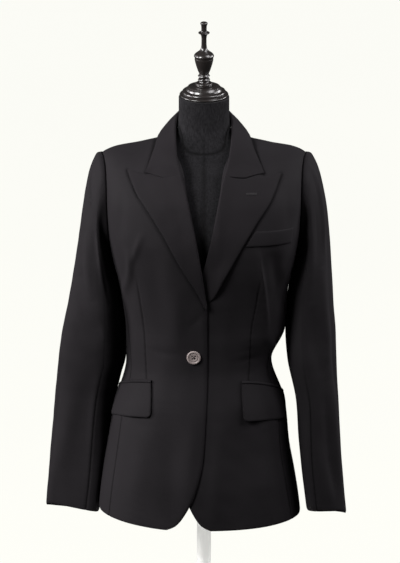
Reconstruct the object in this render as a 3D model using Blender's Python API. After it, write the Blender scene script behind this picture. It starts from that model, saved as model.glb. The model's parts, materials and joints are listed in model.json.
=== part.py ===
"""A single breasted, one-button blazer with peak lapels on a limbless dress form.

Front is -Y, the wearer's right is -X. The origin is the centre of the stand's underside.
The body of the blazer is one curved surface, torso(angle, level). Angle goes from 0 at the
front centre to 180 degrees at the back centre, and level is a row of SECTIONS, in between too.
"""

import bmesh
import bpy
import numpy as np

# ---------------------------------------------------------------- driving dimensions, metres
CLOTH = 0.0020
COLLAR_CLOTH = 0.0015
SEAM_GAP = 0.0003
OVERLAP_LIFT = 0.0050  # how far the top front stands off where it laps over the other
UNDERLAP_DROP = 0.0010
COLLAR_LIFT = 0.0062
LAPEL_LIFT = 0.0030  # of a lapel's outer face above its front
POCKET_LIFT = 0.0043
POCKET_CLOTH = 0.0019

BREAK_HEIGHT = 0.685
SIDE_HEM_RISE_RIGHT = 0.013  # the hem is this much higher at the side than at the front
SIDE_HEM_RISE_LEFT = 0.0055
NECK_POINT = 0.066  # half the neck opening, at the shoulder seam
BUTTON_RADIUS = 0.0125
BUTTON_THICKNESS = 0.0036
BUTTON_AT = (-0.0180, 0.586)
BUTTON_SHANK = 0.0009  # between the cloth and the button's underside
HOLE_RADIUS = 0.0009
HOLE_OFFSET = 0.0032  # of each hole from the button's centre
POLE_RADIUS = 0.0125
BASE_RADIUS = 0.155
BASE_THICKNESS = 0.012
BOARD_THICKNESS = 0.010

# height, half width right, half width left, front depth, back depth, squareness, shoulder rise
SECTIONS = np.array([
    (0.2720, 0.1880, 0.1730, 0.140, 0.138, 2.20, 0.00),
    (0.3400, 0.1800, 0.1620, 0.140, 0.144, 2.20, 0.00),
    (0.4070, 0.1700, 0.1500, 0.135, 0.140, 2.25, 0.00),
    (0.4800, 0.1575, 0.1440, 0.128, 0.122, 2.30, 0.00),
    (0.5570, 0.1390, 0.1207, 0.115, 0.097, 2.30, 0.00),
    (0.6200, 0.1410, 0.1460, 0.120, 0.098, 2.40, 0.00),
    (0.6850, 0.1490, 0.1500, 0.131, 0.106, 2.60, 0.00),
    (0.7500, 0.1640, 0.1640, 0.142, 0.115, 2.90, 0.00),
    (0.7970, 0.1720, 0.1720, 0.146, 0.118, 3.10, 0.03),
    (0.8500, 0.1770, 0.1770, 0.138, 0.116, 3.15, 0.12),
    (0.8850, 0.1790, 0.1790, 0.118, 0.106, 3.00, 0.35),
    (0.9100, 0.1805, 0.1805, 0.088, 0.086, 2.80, 0.65),
    (0.9250, 0.1815, 0.1815, 0.046, 0.048, 2.80, 0.90),
    (0.9310, 0.1820, 0.1820, 0.000, 0.000, 2.80, 1.00),
])
HEIGHT, WIDE_RIGHT, WIDE_LEFT, FRONT, BACK, SQUARE, RISE = range(7)
UNDERARM = 7.0
RIDGE = len(SECTIONS) - 1.0
SHOULDER_SEAM_STEP = 0.012  # levels that the fronts and the back stop short of the shoulder seam
BACK_NECK = 1.35  # levels that the neckline drops at the centre back
FRONT_COLUMNS = 10
BACK_COLUMNS = 8
RIDGE_DEPTH = 0.012  # the shoulder seam lies this far behind the side seam's plane

# across, height of the shoulder line
SHOULDER = np.array([
    (0.000, 0.983),
    (0.040, 0.972),
    (0.066, 0.9640),
    (0.085, 0.9565),
    (0.121, 0.9485),
    (0.155, 0.9432),
    (0.171, 0.9375),
    (0.182, 0.9310),
])

# height, across: the edge of the top (right) front, from the rounded corner up to the break
TOP_EDGE = np.array([
    (0.2720, -0.0660),
    (0.2790, -0.0520),
    (0.2988, -0.0360),
    (0.3298, -0.0204),
    (0.3620, -0.0100),
    (0.4000, -0.0025),
    (0.4680, 0.0023),
    (0.5600, 0.0055),
    (0.6850, 0.0050),
])
# height, centre front line, which the two edges mirror about
CENTRE_FRONT = np.array([
    (0.2720, -0.0275),
    (0.5860, -0.0210),
    (0.6850, -0.0200),
])
# height, roll line of the right lapel, roll line of the left lapel
ROLL = np.array([
    (0.6850, 0.0050, -0.0400),
    (0.7450, -0.0040, -0.0020),
    (0.8000, -0.0135, 0.0120),
    (0.8500, -0.0220, 0.0215),
    (0.8950, -0.0310, 0.0300),
    (0.9150, -0.0370, 0.0355),
])
# lapels, seen from the front: share of the way up, across, height
LAPEL_EDGE_RIGHT = np.array([
    (0.00, 0.0030, 0.6760),
    (0.14, -0.0130, 0.7090),
    (0.28, -0.0400, 0.7530),
    (0.45, -0.0720, 0.8100),
    (0.62, -0.0980, 0.8500),
    (0.80, -0.1190, 0.8790),
    (1.00, -0.1360, 0.9145),
])
LAPEL_EDGE_LEFT = np.array([
    (0.00, -0.0420, 0.6760),
    (0.14, 0.0080, 0.6880),
    (0.28, 0.0380, 0.7350),
    (0.45, 0.0720, 0.7920),
    (0.62, 0.0980, 0.8320),
    (0.80, 0.1210, 0.8680),
    (1.00, 0.1365, 0.9095),
])
# across, height: the gorge and the top of the peak, from the roll line outwards
GORGE_RIGHT = np.array([(-0.0370, 0.9150), (-0.0745, 0.9060), (-0.1030, 0.9100), (-0.1360, 0.9145)])
GORGE_LEFT = np.array([(0.0355, 0.9150), (0.0650, 0.9030), (0.1060, 0.9060), (0.1365, 0.9095)])
COLLAR_TIP_RIGHT = (-0.1030, 0.9120)
COLLAR_TIP_LEFT = (0.1060, 0.9110)

# half of the collar, from its front end to the centre back: place of the fold, outer edge
# fold across, depth, height; edge across, depth, height
COLLAR = np.array([
    (0.0515, -0.0080, 0.9865, 0.0880, -0.0380, 0.9520),
    (0.0490, 0.0120, 0.9985, 0.0815, 0.0120, 0.9640),
    (0.0400, 0.0420, 1.0050, 0.0720, 0.0650, 0.9640),
    (0.0210, 0.0600, 1.0070, 0.0390, 0.0880, 0.9640),
    (0.0000, 0.0650, 1.0080, 0.0000, 0.0950, 0.9640),
])

# half of the neckline the stand is sewn to: across, depth, height
NECKLINE = np.array([
    (0.0660, 0.0120, 0.9680),
    (0.0620, 0.0340, 0.9690),
    (0.0480, 0.0530, 0.9690),
    (0.0260, 0.0640, 0.9685),
    (0.0000, 0.0670, 0.9680),
])
STAND_FRONT = (0.0506, 0.0040, 0.9950)  # where its top edge starts, at the collar's fold
STAND_GAP = 0.0007  # between it and the fold
STAND_BELOW_FOLD = 0.0035
STAND_INSET = 0.0012
STAND_CLOTH = 0.0014
STAND_COLUMNS = 17
COLLAR_COLUMNS = 27
COLLAR_BELLY = 0.0018
# how far the collar's front end stands off the front: at the gorge, above it, and at its tip
COLLAR_END_LIFT = (0.0040, 0.0050, 0.0036)

# sleeves: height, outer edge, inner edge, depth of the centre, half depth
SLEEVE_RIGHT = np.array([
    (0.7350, 0.2300, 0.1610, 0.004, 0.067),
    (0.6600, 0.2425, 0.1445, 0.004, 0.062),
    (0.6050, 0.2536, 0.1390, 0.010, 0.057),
    (0.5570, 0.2600, 0.1390, 0.018, 0.053),
    (0.5220, 0.2637, 0.1475, 0.027, 0.050),
    (0.4800, 0.2675, 0.1575, 0.036, 0.047),
    (0.4070, 0.2735, 0.1695, 0.042, 0.042),
    (0.2700, 0.2842, 0.1885, 0.050, 0.034),
])
SLEEVE_LEFT = np.array([
    (0.7350, 0.2275, 0.1610, -0.002, 0.067),
    (0.6600, 0.2315, 0.1485, -0.008, 0.062),
    (0.6050, 0.2358, 0.1455, -0.012, 0.057),
    (0.5570, 0.2370, 0.1490, -0.018, 0.053),
    (0.4800, 0.2410, 0.1650, -0.018, 0.050),
    (0.4070, 0.2446, 0.1696, -0.017, 0.048),
    (0.2798, 0.2556, 0.1840, -0.015, 0.046),
])
ARMHOLE_FRONT = 17.0  # degrees that the armhole reaches from the side towards the front
ARMHOLE_BACK = 21.0
ARMHOLE_SHAPE = 0.6  # the power of its curve: less is squarer at the underarm
FORE_SEAM = 106.0  # degrees round the sleeve from its outer edge, through the front
HIND_SEAM = 240.0
SLEEVE_GAP = 0.0005  # between a sleeve and the panels at the armhole
SLEEVE_TURN = 0.030  # how far back the inner edge of an upper sleeve lies
SLEEVE_TURN_REACH = (0.292, 0.592)  # heights between which that comes in
SLEEVE_FACE = 0.020  # how far a sleeve's front is turned outwards, from its middle to its edge
SLEEVE_ROUND = 0.82  # the section's power: 1 is a circle's, less is squarer
CUFF_SQUARE = 0.27  # how much less it is at the cuff
CUFF_SQUARE_REACH = (0.512, 0.302)
CUFF_SLANT_RIGHT = 0.0050  # how far a cuff's outer end is raised and its inner one lowered
CUFF_SLANT_LEFT = -0.0041
CUFF_TILT = 0.21  # how much a cuff rises towards the front, as a slope
CUFF_SLANT_REACH = (0.472, 0.282)

# flaps and jets: front end across, height of the top, depth of the piece, length
FLAP_TOP = 0.5385
FLAP_DEPTH = 0.0595
FLAP_LENGTH = 0.132
FLAP_DROP_RIGHT = 0.017  # how much lower a flap's lower edge is at its back end
FLAP_DROP_LEFT = 0.020
FLAP_TAPER_RIGHT = 0.014  # how much narrower a flap is at its back end
FLAP_TAPER_LEFT = 0.022
FLAP_CORNER = 0.06  # of its length
FLAP_ROUND = 0.12  # of its depth
FLAP_GAP = 0.0006  # under its jet
FLAP_FRONT_RIGHT = -0.0945
FLAP_FRONT_LEFT = 0.0695
JET_DEPTH = 0.0055
# breast welt, corner by corner: across, height
WELT_TOP = ((0.0905, 0.8175), (0.1570, 0.8160))
WELT_FOOT = ((0.0740, 0.7910), (0.1540, 0.7900))

# side seams: degrees from the front centre at the hem and at the armhole
FRONT_SEAM = (64.0, 79.0)
BACK_SEAM = (118.0, 101.0)
SEAM_STRAIGHT_TO = 2.0  # the level up to which they hang straight

# the form: height, half width, front depth, back depth, squareness
FORM = np.array([
    (0.3450, 0.1550, 0.118, 0.120, 2.2),
    (0.4000, 0.1430, 0.112, 0.118, 2.2),
    (0.4800, 0.1260, 0.108, 0.104, 2.2),
    (0.5570, 0.1070, 0.100, 0.082, 2.2),
    (0.6200, 0.1180, 0.104, 0.084, 2.3),
    (0.6850, 0.1340, 0.116, 0.092, 2.4),
    (0.7500, 0.1480, 0.126, 0.101, 2.5),
    (0.8000, 0.1560, 0.130, 0.104, 2.5),
    (0.8450, 0.1590, 0.122, 0.102, 2.5),
    (0.8800, 0.1580, 0.102, 0.092, 2.4),
    (0.9070, 0.1500, 0.074, 0.076, 2.3),
    (0.9240, 0.1320, 0.054, 0.062, 2.2),
    (0.9380, 0.1020, 0.046, 0.056, 2.1),
    (0.9500, 0.0730, 0.041, 0.055, 2.0),
    (0.9640, 0.0540, 0.037, 0.054, 2.0),
    (0.9800, 0.0470, 0.035, 0.055, 2.0),
    (1.0050, 0.0450, 0.036, 0.054, 2.0),
    (1.0340, 0.0450, 0.036, 0.054, 2.0),
])

# turned wooden cap and finial: radius, height above the cap's seat
CAP_PROFILE = [
    (0.0435, 0.0000), (0.0435, 0.0030), (0.0400, 0.0045), (0.0385, 0.0060), (0.0366, 0.0085),
    (0.0320, 0.0110), (0.0285, 0.0150), (0.0285, 0.0174),
]
FINIAL_PROFILE = [
    (0.0152, 0.0000), (0.0152, 0.0064), (0.0086, 0.0085), (0.0107, 0.0113), (0.0086, 0.0150),
    (0.0107, 0.0183), (0.0086, 0.0217), (0.0134, 0.0360), (0.0166, 0.0502), (0.0175, 0.0555),
    (0.0157, 0.0604), (0.0090, 0.0660), (0.0045, 0.0727), (0.0045, 0.0888), (0.0058, 0.0945),
    (0.0100, 0.0982), (0.0050, 0.1000), (0.0050, 0.1133), (0.0063, 0.1152), (0.0035, 0.1190),
]
FORM_SHIFT = 0.006  # of its foot, to the wearer's right
FORM_SHIFT_REACH = (0.5, 0.7)
BOARD_INSET = 0.004
CAP_LEAN = 6.5
CAP_SEAT = (0.0, 0.009, 1.0345)

BLACK = (0.0194, 0.0180, 0.0200)
PALE = (0.62, 0.55, 0.53)
HEATHER = (0.035, 0.035, 0.037)
EBONY = (0.010, 0.009, 0.009)
WHITE = (0.86, 0.86, 0.84)


# ---------------------------------------------------------------- curves and surfaces
def smooth(table, at, column):
    """One column of a table, read along its first by a cubic that doesn't overshoot."""
    return cubic(table[:, 0], table[:, column], at)


def cubic(places, values, at):
    order = np.argsort(places)
    x, y = places[order], values[order]
    slope = np.diff(y) / np.diff(x)
    same_way = slope[1:] * slope[:-1] > 0
    middle = np.where(same_way, 2 * slope[1:] * slope[:-1] / np.where(same_way, slope[1:] + slope[:-1], 1), 0)
    tangent = np.concatenate([[slope[0]], middle, [slope[-1]]])
    at = np.clip(at, x[0], x[-1])
    i = np.clip(np.searchsorted(x, at, side="right") - 1, 0, len(x) - 2)
    step = x[i + 1] - x[i]
    t = (at - x[i]) / step
    return (
        y[i] * (1 + 2 * t) * (1 - t) ** 2 + tangent[i] * step * t * (1 - t) ** 2
        + y[i + 1] * t * t * (3 - 2 * t) + tangent[i + 1] * step * t * t * (t - 1)
    )


def ease(value, start, end):
    t = np.clip((value - start) / (end - start), 0, 1)
    return t * t * (3 - 2 * t)


def section(level, column):
    return cubic(np.arange(len(SECTIONS), dtype=float), SECTIONS[:, column], level)


def half_width(across_sign, level):
    return np.where(across_sign < 0, section(level, WIDE_RIGHT), section(level, WIDE_LEFT))


def rise_at(across):
    tip = SHOULDER[-1, 1]
    return smooth(SHOULDER, np.abs(across), 1) - tip


def torso(angle, level):
    """A point of the blazer's outer face. The angle is in degrees, and left of centre is positive."""
    angle, level = np.broadcast_arrays(np.asarray(angle, float), np.asarray(level, float))
    turn = np.radians(angle)
    power = 2 / section(level, SQUARE)
    across = half_width(angle, level) * np.sign(angle) * np.abs(np.sin(turn)) ** power
    front = np.abs(angle) < 90
    depth = np.where(front, -section(level, FRONT), section(level, BACK)) * np.abs(np.cos(turn)) ** power
    depth = depth + RIDGE_DEPTH * ease(level, UNDERARM, RIDGE)
    height = section(level, HEIGHT) + section(level, RISE) * rise_at(across)
    hem_rise = np.where(angle < 0, SIDE_HEM_RISE_RIGHT, SIDE_HEM_RISE_LEFT)
    height = height + hem_rise * np.sin(turn) ** 2 * (1 - ease(level, 0, 2))
    return np.stack([across, depth, height], axis=-1)


def outward(angle, level):
    """The unit normal of torso()."""
    small_turn, small_step = 0.4, 0.02
    above, below = np.minimum(level + small_step, RIDGE), np.maximum(level - small_step, 0)
    along = torso(angle + small_turn, level) - torso(angle - small_turn, level)
    up = torso(angle, above) - torso(angle, below)
    normal = np.cross(along, up)
    normal[..., 1] *= np.clip((RIDGE - level) / 0.35, 0, 1)
    return normal / np.linalg.norm(normal, axis=-1, keepdims=True)


def angle_of(across, level):
    """The angle, in front of the side, where torso() passes this far across."""
    share = np.clip(np.abs(across) / half_width(np.asarray(across), level), 0, 1)
    return np.sign(across) * np.degrees(np.arcsin(share ** (section(level, SQUARE) / 2)))


def level_of(across, height):
    """The level at which the surface passes this height, this far across."""
    low, high = np.zeros(np.shape(across)), np.full(np.shape(across), RIDGE)
    for _ in range(24):
        middle = (low + high) / 2
        under = section(middle, HEIGHT) + section(middle, RISE) * rise_at(across) < height
        low, high = np.where(under, middle, low), np.where(under, high, middle)
    return (low + high) / 2


def below_lapels(level):
    return 1 - ease(level, UNDERARM, UNDERARM + 2)


def lift_top(across, level):
    """How far the right front stands off the surface, over the left front's underlap."""
    return OVERLAP_LIFT * ease(across, -0.115, -0.062) * below_lapels(level)


def lift_under(across, level):
    return -UNDERLAP_DROP * (1 - ease(across, 0.012, 0.060)) * below_lapels(level)


def no_lift(across, level):
    return np.zeros(np.shape(across))


def even_angles(start, end, level, count):
    """Angles from start to end, at equal distances along the surface, for each level."""
    share = np.linspace(0, 1, 60)
    fine = start[:, None] + (end - start)[:, None] * share
    points = torso(fine, np.broadcast_to(level[:, None], fine.shape))
    steps = np.linalg.norm(np.diff(points, axis=1), axis=-1)
    along = np.concatenate([np.zeros((len(level), 1)), np.cumsum(steps, axis=1)], axis=1)
    wanted = np.linspace(0, 1, count)
    return np.stack([np.interp(wanted * a[-1], a, f) for a, f in zip(along, fine, strict=True)])


def drawn_in(angle, level, left_edge, right_edge):
    """Moves the first and last columns in by half a seam's gap."""
    for column, inward, gap in ((0, 1, left_edge), (-1, -1, right_edge)):
        a, other = angle[:, column], angle[:, column + inward]
        before, after = torso(a - 0.2, level[:, column]), torso(a + 0.2, level[:, column])
        per_degree = np.linalg.norm(after - before, axis=-1) / 0.4
        angle[:, column] = a + np.sign(other - a) * gap / np.maximum(per_degree, 1e-4)
    return angle


# ---------------------------------------------------------------- meshes
def material(name, colour, roughness, metallic=0.0):
    made = bpy.data.materials.new(name)
    made.use_nodes = True
    shader = made.node_tree.nodes["Principled BSDF"]
    shader.inputs["Base Color"].default_value = (*colour, 1)
    shader.inputs["Roughness"].default_value = roughness
    shader.inputs["Metallic"].default_value = metallic
    return made


def add_object(name, mesh_data, finish):
    """Makes an object of a bmesh, with its faces turned outwards."""
    bmesh.ops.recalc_face_normals(mesh_data, faces=mesh_data.faces)
    mesh = bpy.data.meshes.new(name)
    mesh_data.to_mesh(mesh)
    mesh_data.free()
    mesh.shade_smooth()
    mesh.set_sharp_from_angle(angle=np.radians(40))
    mesh.materials.append(finish)
    made = bpy.data.objects.new(name, mesh)
    bpy.context.scene.collection.objects.link(made)
    return made


def shell(name, outer, inner, finish):
    """A sheet of cloth between two grids of points of the same shape."""
    rows, columns = outer.shape[:2]
    bm = bmesh.new()
    faces = [[[bm.verts.new(p) for p in row] for row in grid] for grid in (outer, inner)]
    for side in faces:
        for i in range(rows - 1):
            for j in range(columns - 1):
                bm.faces.new((side[i][j], side[i][j + 1], side[i + 1][j + 1], side[i + 1][j]))
    rim = [(0, j) for j in range(columns)]
    rim += [(i, columns - 1) for i in range(1, rows)]
    rim += [(rows - 1, j) for j in range(columns - 2, -1, -1)]
    rim += [(i, 0) for i in range(rows - 2, 0, -1)]
    for (i, j), (k, m) in zip(rim, rim[1:] + rim[:1], strict=True):
        bm.faces.new((faces[0][i][j], faces[0][k][m], faces[1][k][m], faces[1][i][j]))
    return add_object(name, bm, finish)


def rings(name, loops, finish):
    """A solid through closed loops of points, with flat ends."""
    bm = bmesh.new()
    made = [[bm.verts.new(p) for p in loop] for loop in loops]
    for low, high in zip(made, made[1:], strict=False):
        for j in range(len(low)):
            k = (j + 1) % len(low)
            bm.faces.new((low[j], low[k], high[k], high[j]))
    bm.faces.new(made[0])
    bm.faces.new(made[-1])
    return add_object(name, bm, finish)


def turned(name, profile, finish, steps=32):
    """A solid turned about Z from (radius, height) pairs, bottom to top."""
    turn = np.linspace(0, 2 * np.pi, steps, endpoint=False)
    loops = [np.stack([r * np.cos(turn), r * np.sin(turn), np.full(steps, z)], axis=-1) for r, z in profile]
    return rings(name, loops, finish)


def cloth_on_torso(name, angle, level, lift, finish, wall=CLOTH, extra=0.0):
    """A shell of cloth whose outer face is lift(across, level) + extra off the surface."""
    surface, normal = torso(angle, level), outward(angle, level)
    off = (lift(surface[..., 0], level) + extra)[..., None]
    return shell(name, surface + normal * off, surface + normal * (off - wall), finish)


# ---------------------------------------------------------------- body panels
def armhole_angle(level, reach):
    """Degrees from the side to the armhole's edge at this level."""
    share = np.clip((level - UNDERARM) / (RIDGE - UNDERARM), 0, 1)
    return reach * np.sin(np.pi * share) ** ARMHOLE_SHAPE


def armhole_level(degrees, reach):
    """The level at which the lower half of the armhole is this far from the side."""
    share = np.arcsin(np.clip(degrees / reach, 0, 1) ** (1 / ARMHOLE_SHAPE)) / np.pi
    return UNDERARM + share * (RIDGE - UNDERARM)


SEAM_TOP_FRONT = float(armhole_level(90 - FRONT_SEAM[1], ARMHOLE_FRONT))
SEAM_TOP_BACK = float(armhole_level(BACK_SEAM[1] - 90, ARMHOLE_BACK))


def seam_angle(level, ends, top):
    return ends[0] + (ends[1] - ends[0]) * ease(level, SEAM_STRAIGHT_TO, top)


def body_rows(seam_top, upper_rows=9):
    """Levels of a panel's rows: the same ones as the side panel's up to its corner."""
    lower = seam_top * SIDE_ROWS
    return np.concatenate([lower, np.linspace(seam_top, RIDGE, upper_rows + 1)[1:]])


SIDE_ROWS = np.concatenate([[0, 0.015, 0.045, 0.09], np.linspace(0.14, 1, 13)])


def outer_boundary(level, ends, seam_top, reach):
    """Degrees from the front centre of a panel's side edge, then of its armhole edge."""
    hole = 90 - np.sign(90 - ends[1]) * armhole_angle(level, reach)
    return np.where(level < seam_top, seam_angle(level, ends, seam_top), hole)


def front_edge(level, side):
    """How far across a front's edge, then its roll line, then its neckline lies."""
    height = section(level, HEIGHT)
    lap = smooth(TOP_EDGE, height, 1)
    if side > 0:
        lap = 2 * smooth(CENTRE_FRONT, height, 1) - lap
    roll = smooth(ROLL, height, 1 if side < 0 else 2)
    gorge_level = float(level_of(np.array(side * 0.036), 0.915))
    neck = roll + (side * NECK_POINT - roll) * ease(level, gorge_level - 0.2, RIDGE) ** 1.2
    return np.where(height < BREAK_HEIGHT, lap, neck)


def front_panel(name, side, finish):
    level = body_rows(SEAM_TOP_FRONT)
    inner = angle_of(front_edge(level, side), level)
    outer = side * outer_boundary(level, FRONT_SEAM, SEAM_TOP_FRONT, ARMHOLE_FRONT)
    angle = even_angles(inner, outer, level, FRONT_COLUMNS)
    grid = np.repeat(level[:, None], FRONT_COLUMNS, axis=1)
    angle = drawn_in(angle, grid, 0, SEAM_GAP)
    grid[-1] -= SHOULDER_SEAM_STEP
    return cloth_on_torso(name, angle, grid, lift_top if side < 0 else lift_under, finish)


def side_panel(name, side, finish):
    share = np.linspace(0, 1, 6)
    top_angle = FRONT_SEAM[1] + (BACK_SEAM[1] - FRONT_SEAM[1]) * share
    top = np.where(
        top_angle < 90,
        armhole_level(90 - top_angle, ARMHOLE_FRONT),
        armhole_level(top_angle - 90, ARMHOLE_BACK),
    )
    level = SIDE_ROWS[:, None] * top
    front = seam_angle(level, FRONT_SEAM, SEAM_TOP_FRONT)
    back = seam_angle(level, BACK_SEAM, SEAM_TOP_BACK)
    angle = drawn_in(side * (front + (back - front) * share), level, SEAM_GAP, SEAM_GAP)
    return cloth_on_torso(name, angle, level, no_lift, finish)


def back_panel(name, side, finish):
    level = body_rows(SEAM_TOP_BACK)
    bare = np.clip((level - RIDGE + BACK_NECK) / BACK_NECK, 0, 1)
    neckline = NECK_POINT * np.sqrt(1 - (1 - bare) ** 2)
    inner = 180 - np.abs(angle_of(np.maximum(neckline, SEAM_GAP), level))
    outer = outer_boundary(level, BACK_SEAM, SEAM_TOP_BACK, ARMHOLE_BACK)
    angle = even_angles(side * inner, side * outer, level, BACK_COLUMNS)
    grid = np.repeat(level[:, None], BACK_COLUMNS, axis=1)
    angle = drawn_in(angle, grid, 0, SEAM_GAP)
    grid[-1] -= SHOULDER_SEAM_STEP
    return cloth_on_torso(name, angle, grid, no_lift, finish)


def on_front(name, across, height, lift, finish, wall=CLOTH, extra=0.0):
    """A piece lying on the front, given by its points as seen from the front."""
    level = level_of(across, height)
    return cloth_on_torso(name, angle_of(across, level), level, lift, finish, wall, extra)


def lapel(name, side, finish):
    """From the break up to the gorge and the peak, between the roll line and the outer edge."""
    edge, gorge = (LAPEL_EDGE_RIGHT, GORGE_RIGHT) if side < 0 else (LAPEL_EDGE_LEFT, GORGE_LEFT)
    up = np.linspace(0, 1, 13)
    over = np.linspace(0, 1, 7)
    roll_height = BREAK_HEIGHT - 0.004 + (gorge[0, 1] - BREAK_HEIGHT + 0.004) * up
    roll_across = smooth(ROLL, roll_height, 1 if side < 0 else 2)
    across = roll_across[:, None] + (smooth(edge, up, 1) - roll_across)[:, None] * over
    height = roll_height[:, None] + (smooth(edge, up, 2) - roll_height)[:, None] * over
    top = np.interp(over, np.linspace(0, 1, len(gorge)), np.arange(len(gorge)))
    top_across = np.interp(top, np.arange(len(gorge)), gorge[:, 0])
    top_height = np.interp(top, np.arange(len(gorge)), gorge[:, 1])
    bend = ease(up, 0.6, 1.0)[:, None]
    across = across + bend * (top_across - across[-1])
    height = height + bend * (top_height - height[-1])
    lift = lift_top if side < 0 else lift_under
    return on_front(name, across, height, lift, finish, CLOTH, LAPEL_LIFT)


def pocket_top(side, share):
    """The height of a pocket's mouth at a share of its length from the front."""
    drop = FLAP_DROP_RIGHT + FLAP_TAPER_RIGHT if side < 0 else FLAP_DROP_LEFT + FLAP_TAPER_LEFT
    return FLAP_TOP - drop * share**1.5


def flap(name, side, start, finish):
    """A pocket flap that runs back from its front edge, with rounded lower corners."""
    along = np.concatenate([[0, 0.02, 0.06], np.linspace(0.13, 0.87, 7), [0.94, 0.98, 1]])
    down = np.linspace(0, 1, 5)[:, None]
    near_end = np.clip(1 - np.minimum(along, 1 - along) / FLAP_CORNER, 0, 1)
    taper = (FLAP_TAPER_RIGHT if side < 0 else FLAP_TAPER_LEFT) * along**1.5
    long = FLAP_DEPTH * (1 - FLAP_ROUND * (1 - np.sqrt(1 - near_end**2))) - taper
    height = pocket_top(side, along) - JET_DEPTH - FLAP_GAP - long * down
    return band(name, side, start, FLAP_LENGTH * along, height, finish)


def band(name, side, start, along, height, finish):
    """Cloth on a panel at these heights, which runs round the body from start for these lengths."""
    angle = np.empty(height.shape)
    for row in range(len(height)):
        level = level_of(np.array(start), height[row].mean())
        fine = np.linspace(angle_of(np.array(start), level), side * 135.0, 400)
        points = torso(fine, np.full(400, level))
        length = np.concatenate([[0], np.cumsum(np.linalg.norm(np.diff(points, axis=0), axis=-1))])
        angle[row] = np.interp(along, length, fine)
    level = level_of(np.zeros(height.shape), height)
    lift = lift_top if side < 0 else lift_under
    return cloth_on_torso(name, angle, level, lift, finish, POCKET_CLOTH, POCKET_LIFT)


def jet(name, side, start, finish):
    along = np.linspace(0, 1, 9)
    height = pocket_top(side, along) - JET_DEPTH * np.linspace(0, 1, 3)[:, None]
    return band(name, side, start, FLAP_LENGTH * along, height, finish)


def breast_welt(name, finish):
    along, up = np.linspace(0, 1, 7)[:, None], np.linspace(0, 1, 4)[:, None, None]
    top, foot = (np.array(ends[0]) + (np.array(ends[1]) - ends[0]) * along for ends in (WELT_TOP, WELT_FOOT))
    corners = foot + (top - foot) * up
    return on_front(name, corners[..., 0], corners[..., 1], lift_under, finish, POCKET_CLOTH, POCKET_LIFT)


# ---------------------------------------------------------------- collar
def collar_line(columns):
    """The half-collar's columns mirrored round the neck, from the right front to the left."""
    half = COLLAR[:, columns]
    return np.concatenate([half * (-1, 1, 1), half[-2::-1]])


def through(points, count):
    """A smooth line through points, at even shares of its length."""
    length = np.concatenate([[0], np.cumsum(np.linalg.norm(np.diff(points, axis=0), axis=-1))])
    at = np.linspace(0, length[-1], count)
    return np.stack([cubic(length, points[:, k], at) for k in range(3)], axis=-1)


def seen_point(across, height, lift, extra):
    across = np.array(across)
    level = level_of(across, height)
    angle = angle_of(across, level)
    return torso(angle, level) + outward(angle, level) * (lift(across, level) + extra)


def collar_fall(name, finish):
    ends = []
    for side, gorge, tip in ((-1, GORGE_RIGHT, COLLAR_TIP_RIGHT), (1, GORGE_LEFT, COLLAR_TIP_LEFT)):
        lift = lift_top if side < 0 else lift_under
        start = seen_point(gorge[0, 0], gorge[0, 1] + 0.004, lift, COLLAR_END_LIFT[0])
        middle = seen_point(gorge[0, 0] + side * 0.010, 0.9400, lift, COLLAR_END_LIFT[1])
        ends.append((start, middle, seen_point(tip[0], tip[1] + 0.0015, lift, COLLAR_END_LIFT[2])))
    fold = collar_line([0, 1, 2])
    edge = collar_line([3, 4, 5])
    fold = np.concatenate([[ends[0][0], ends[0][1]], fold, [ends[1][1], ends[1][0]]])
    edge = np.concatenate([[ends[0][2]], edge, [ends[1][2]]])
    fold, edge = through(fold, COLLAR_COLUMNS), through(edge, COLLAR_COLUMNS)
    share = np.linspace(0, 1, 6)[:, None, None]
    grid = fold + (edge - fold) * share
    round_it = np.abs(np.linspace(-1, 1, COLLAR_COLUMNS))[:, None]
    belly = COLLAR_BELLY * np.sin(np.pi * share) * ease(round_it, 1.0, 0.75)
    grid = grid + grid_normals(grid) * belly
    grid = clear_of_fronts(grid)
    return shell(name, grid, grid - grid_normals(grid) * COLLAR_CLOTH, finish)


def clear_of_fronts(grid):
    """Brings points of the collar that lie in front of the shoulders out to just above the fronts."""
    for index in np.ndindex(grid.shape[:2]):
        across, depth, height = grid[index]
        if depth < -0.004 and height < SHOULDER[-1, 1] + rise_at(across):
            lift = lift_top if across < 0 else lift_under
            grid[index][1] = min(depth, seen_point(across, height, lift, COLLAR_LIFT)[1])
    return grid


def grid_normals(grid):
    down = np.gradient(grid, axis=0)
    along = np.gradient(grid, axis=1)
    normal = np.cross(down, along)
    normal /= np.linalg.norm(normal, axis=-1, keepdims=True)
    middle = normal[0, normal.shape[1] // 2]
    return normal * np.sign(middle[1] + middle[2])


def collar_stand(name, finish):
    """The band between the neckline and the fold, on the neck side of both."""
    low = np.concatenate([NECKLINE * (-1, 1, 1), NECKLINE[-2::-1]])
    fold = np.concatenate([[STAND_FRONT], COLLAR[1:, :3]])
    fold = np.concatenate([fold * (-1, 1, 1), fold[-2::-1]])
    inward = np.array([0.0, RIDGE_DEPTH, 0.0]) - fold
    inward[:, 2] = 0
    inward /= np.linalg.norm(inward, axis=-1, keepdims=True)
    top = fold + inward * (COLLAR_CLOTH + STAND_GAP) - (0, 0, STAND_BELOW_FOLD)
    low = low + inward * STAND_INSET
    low, top = through(low, STAND_COLUMNS), through(top, STAND_COLUMNS)
    grid = top + (low - top) * np.linspace(0, 1, 4)[:, None, None]
    return shell(name, grid, grid - grid_normals(grid) * STAND_CLOTH, finish)


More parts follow.
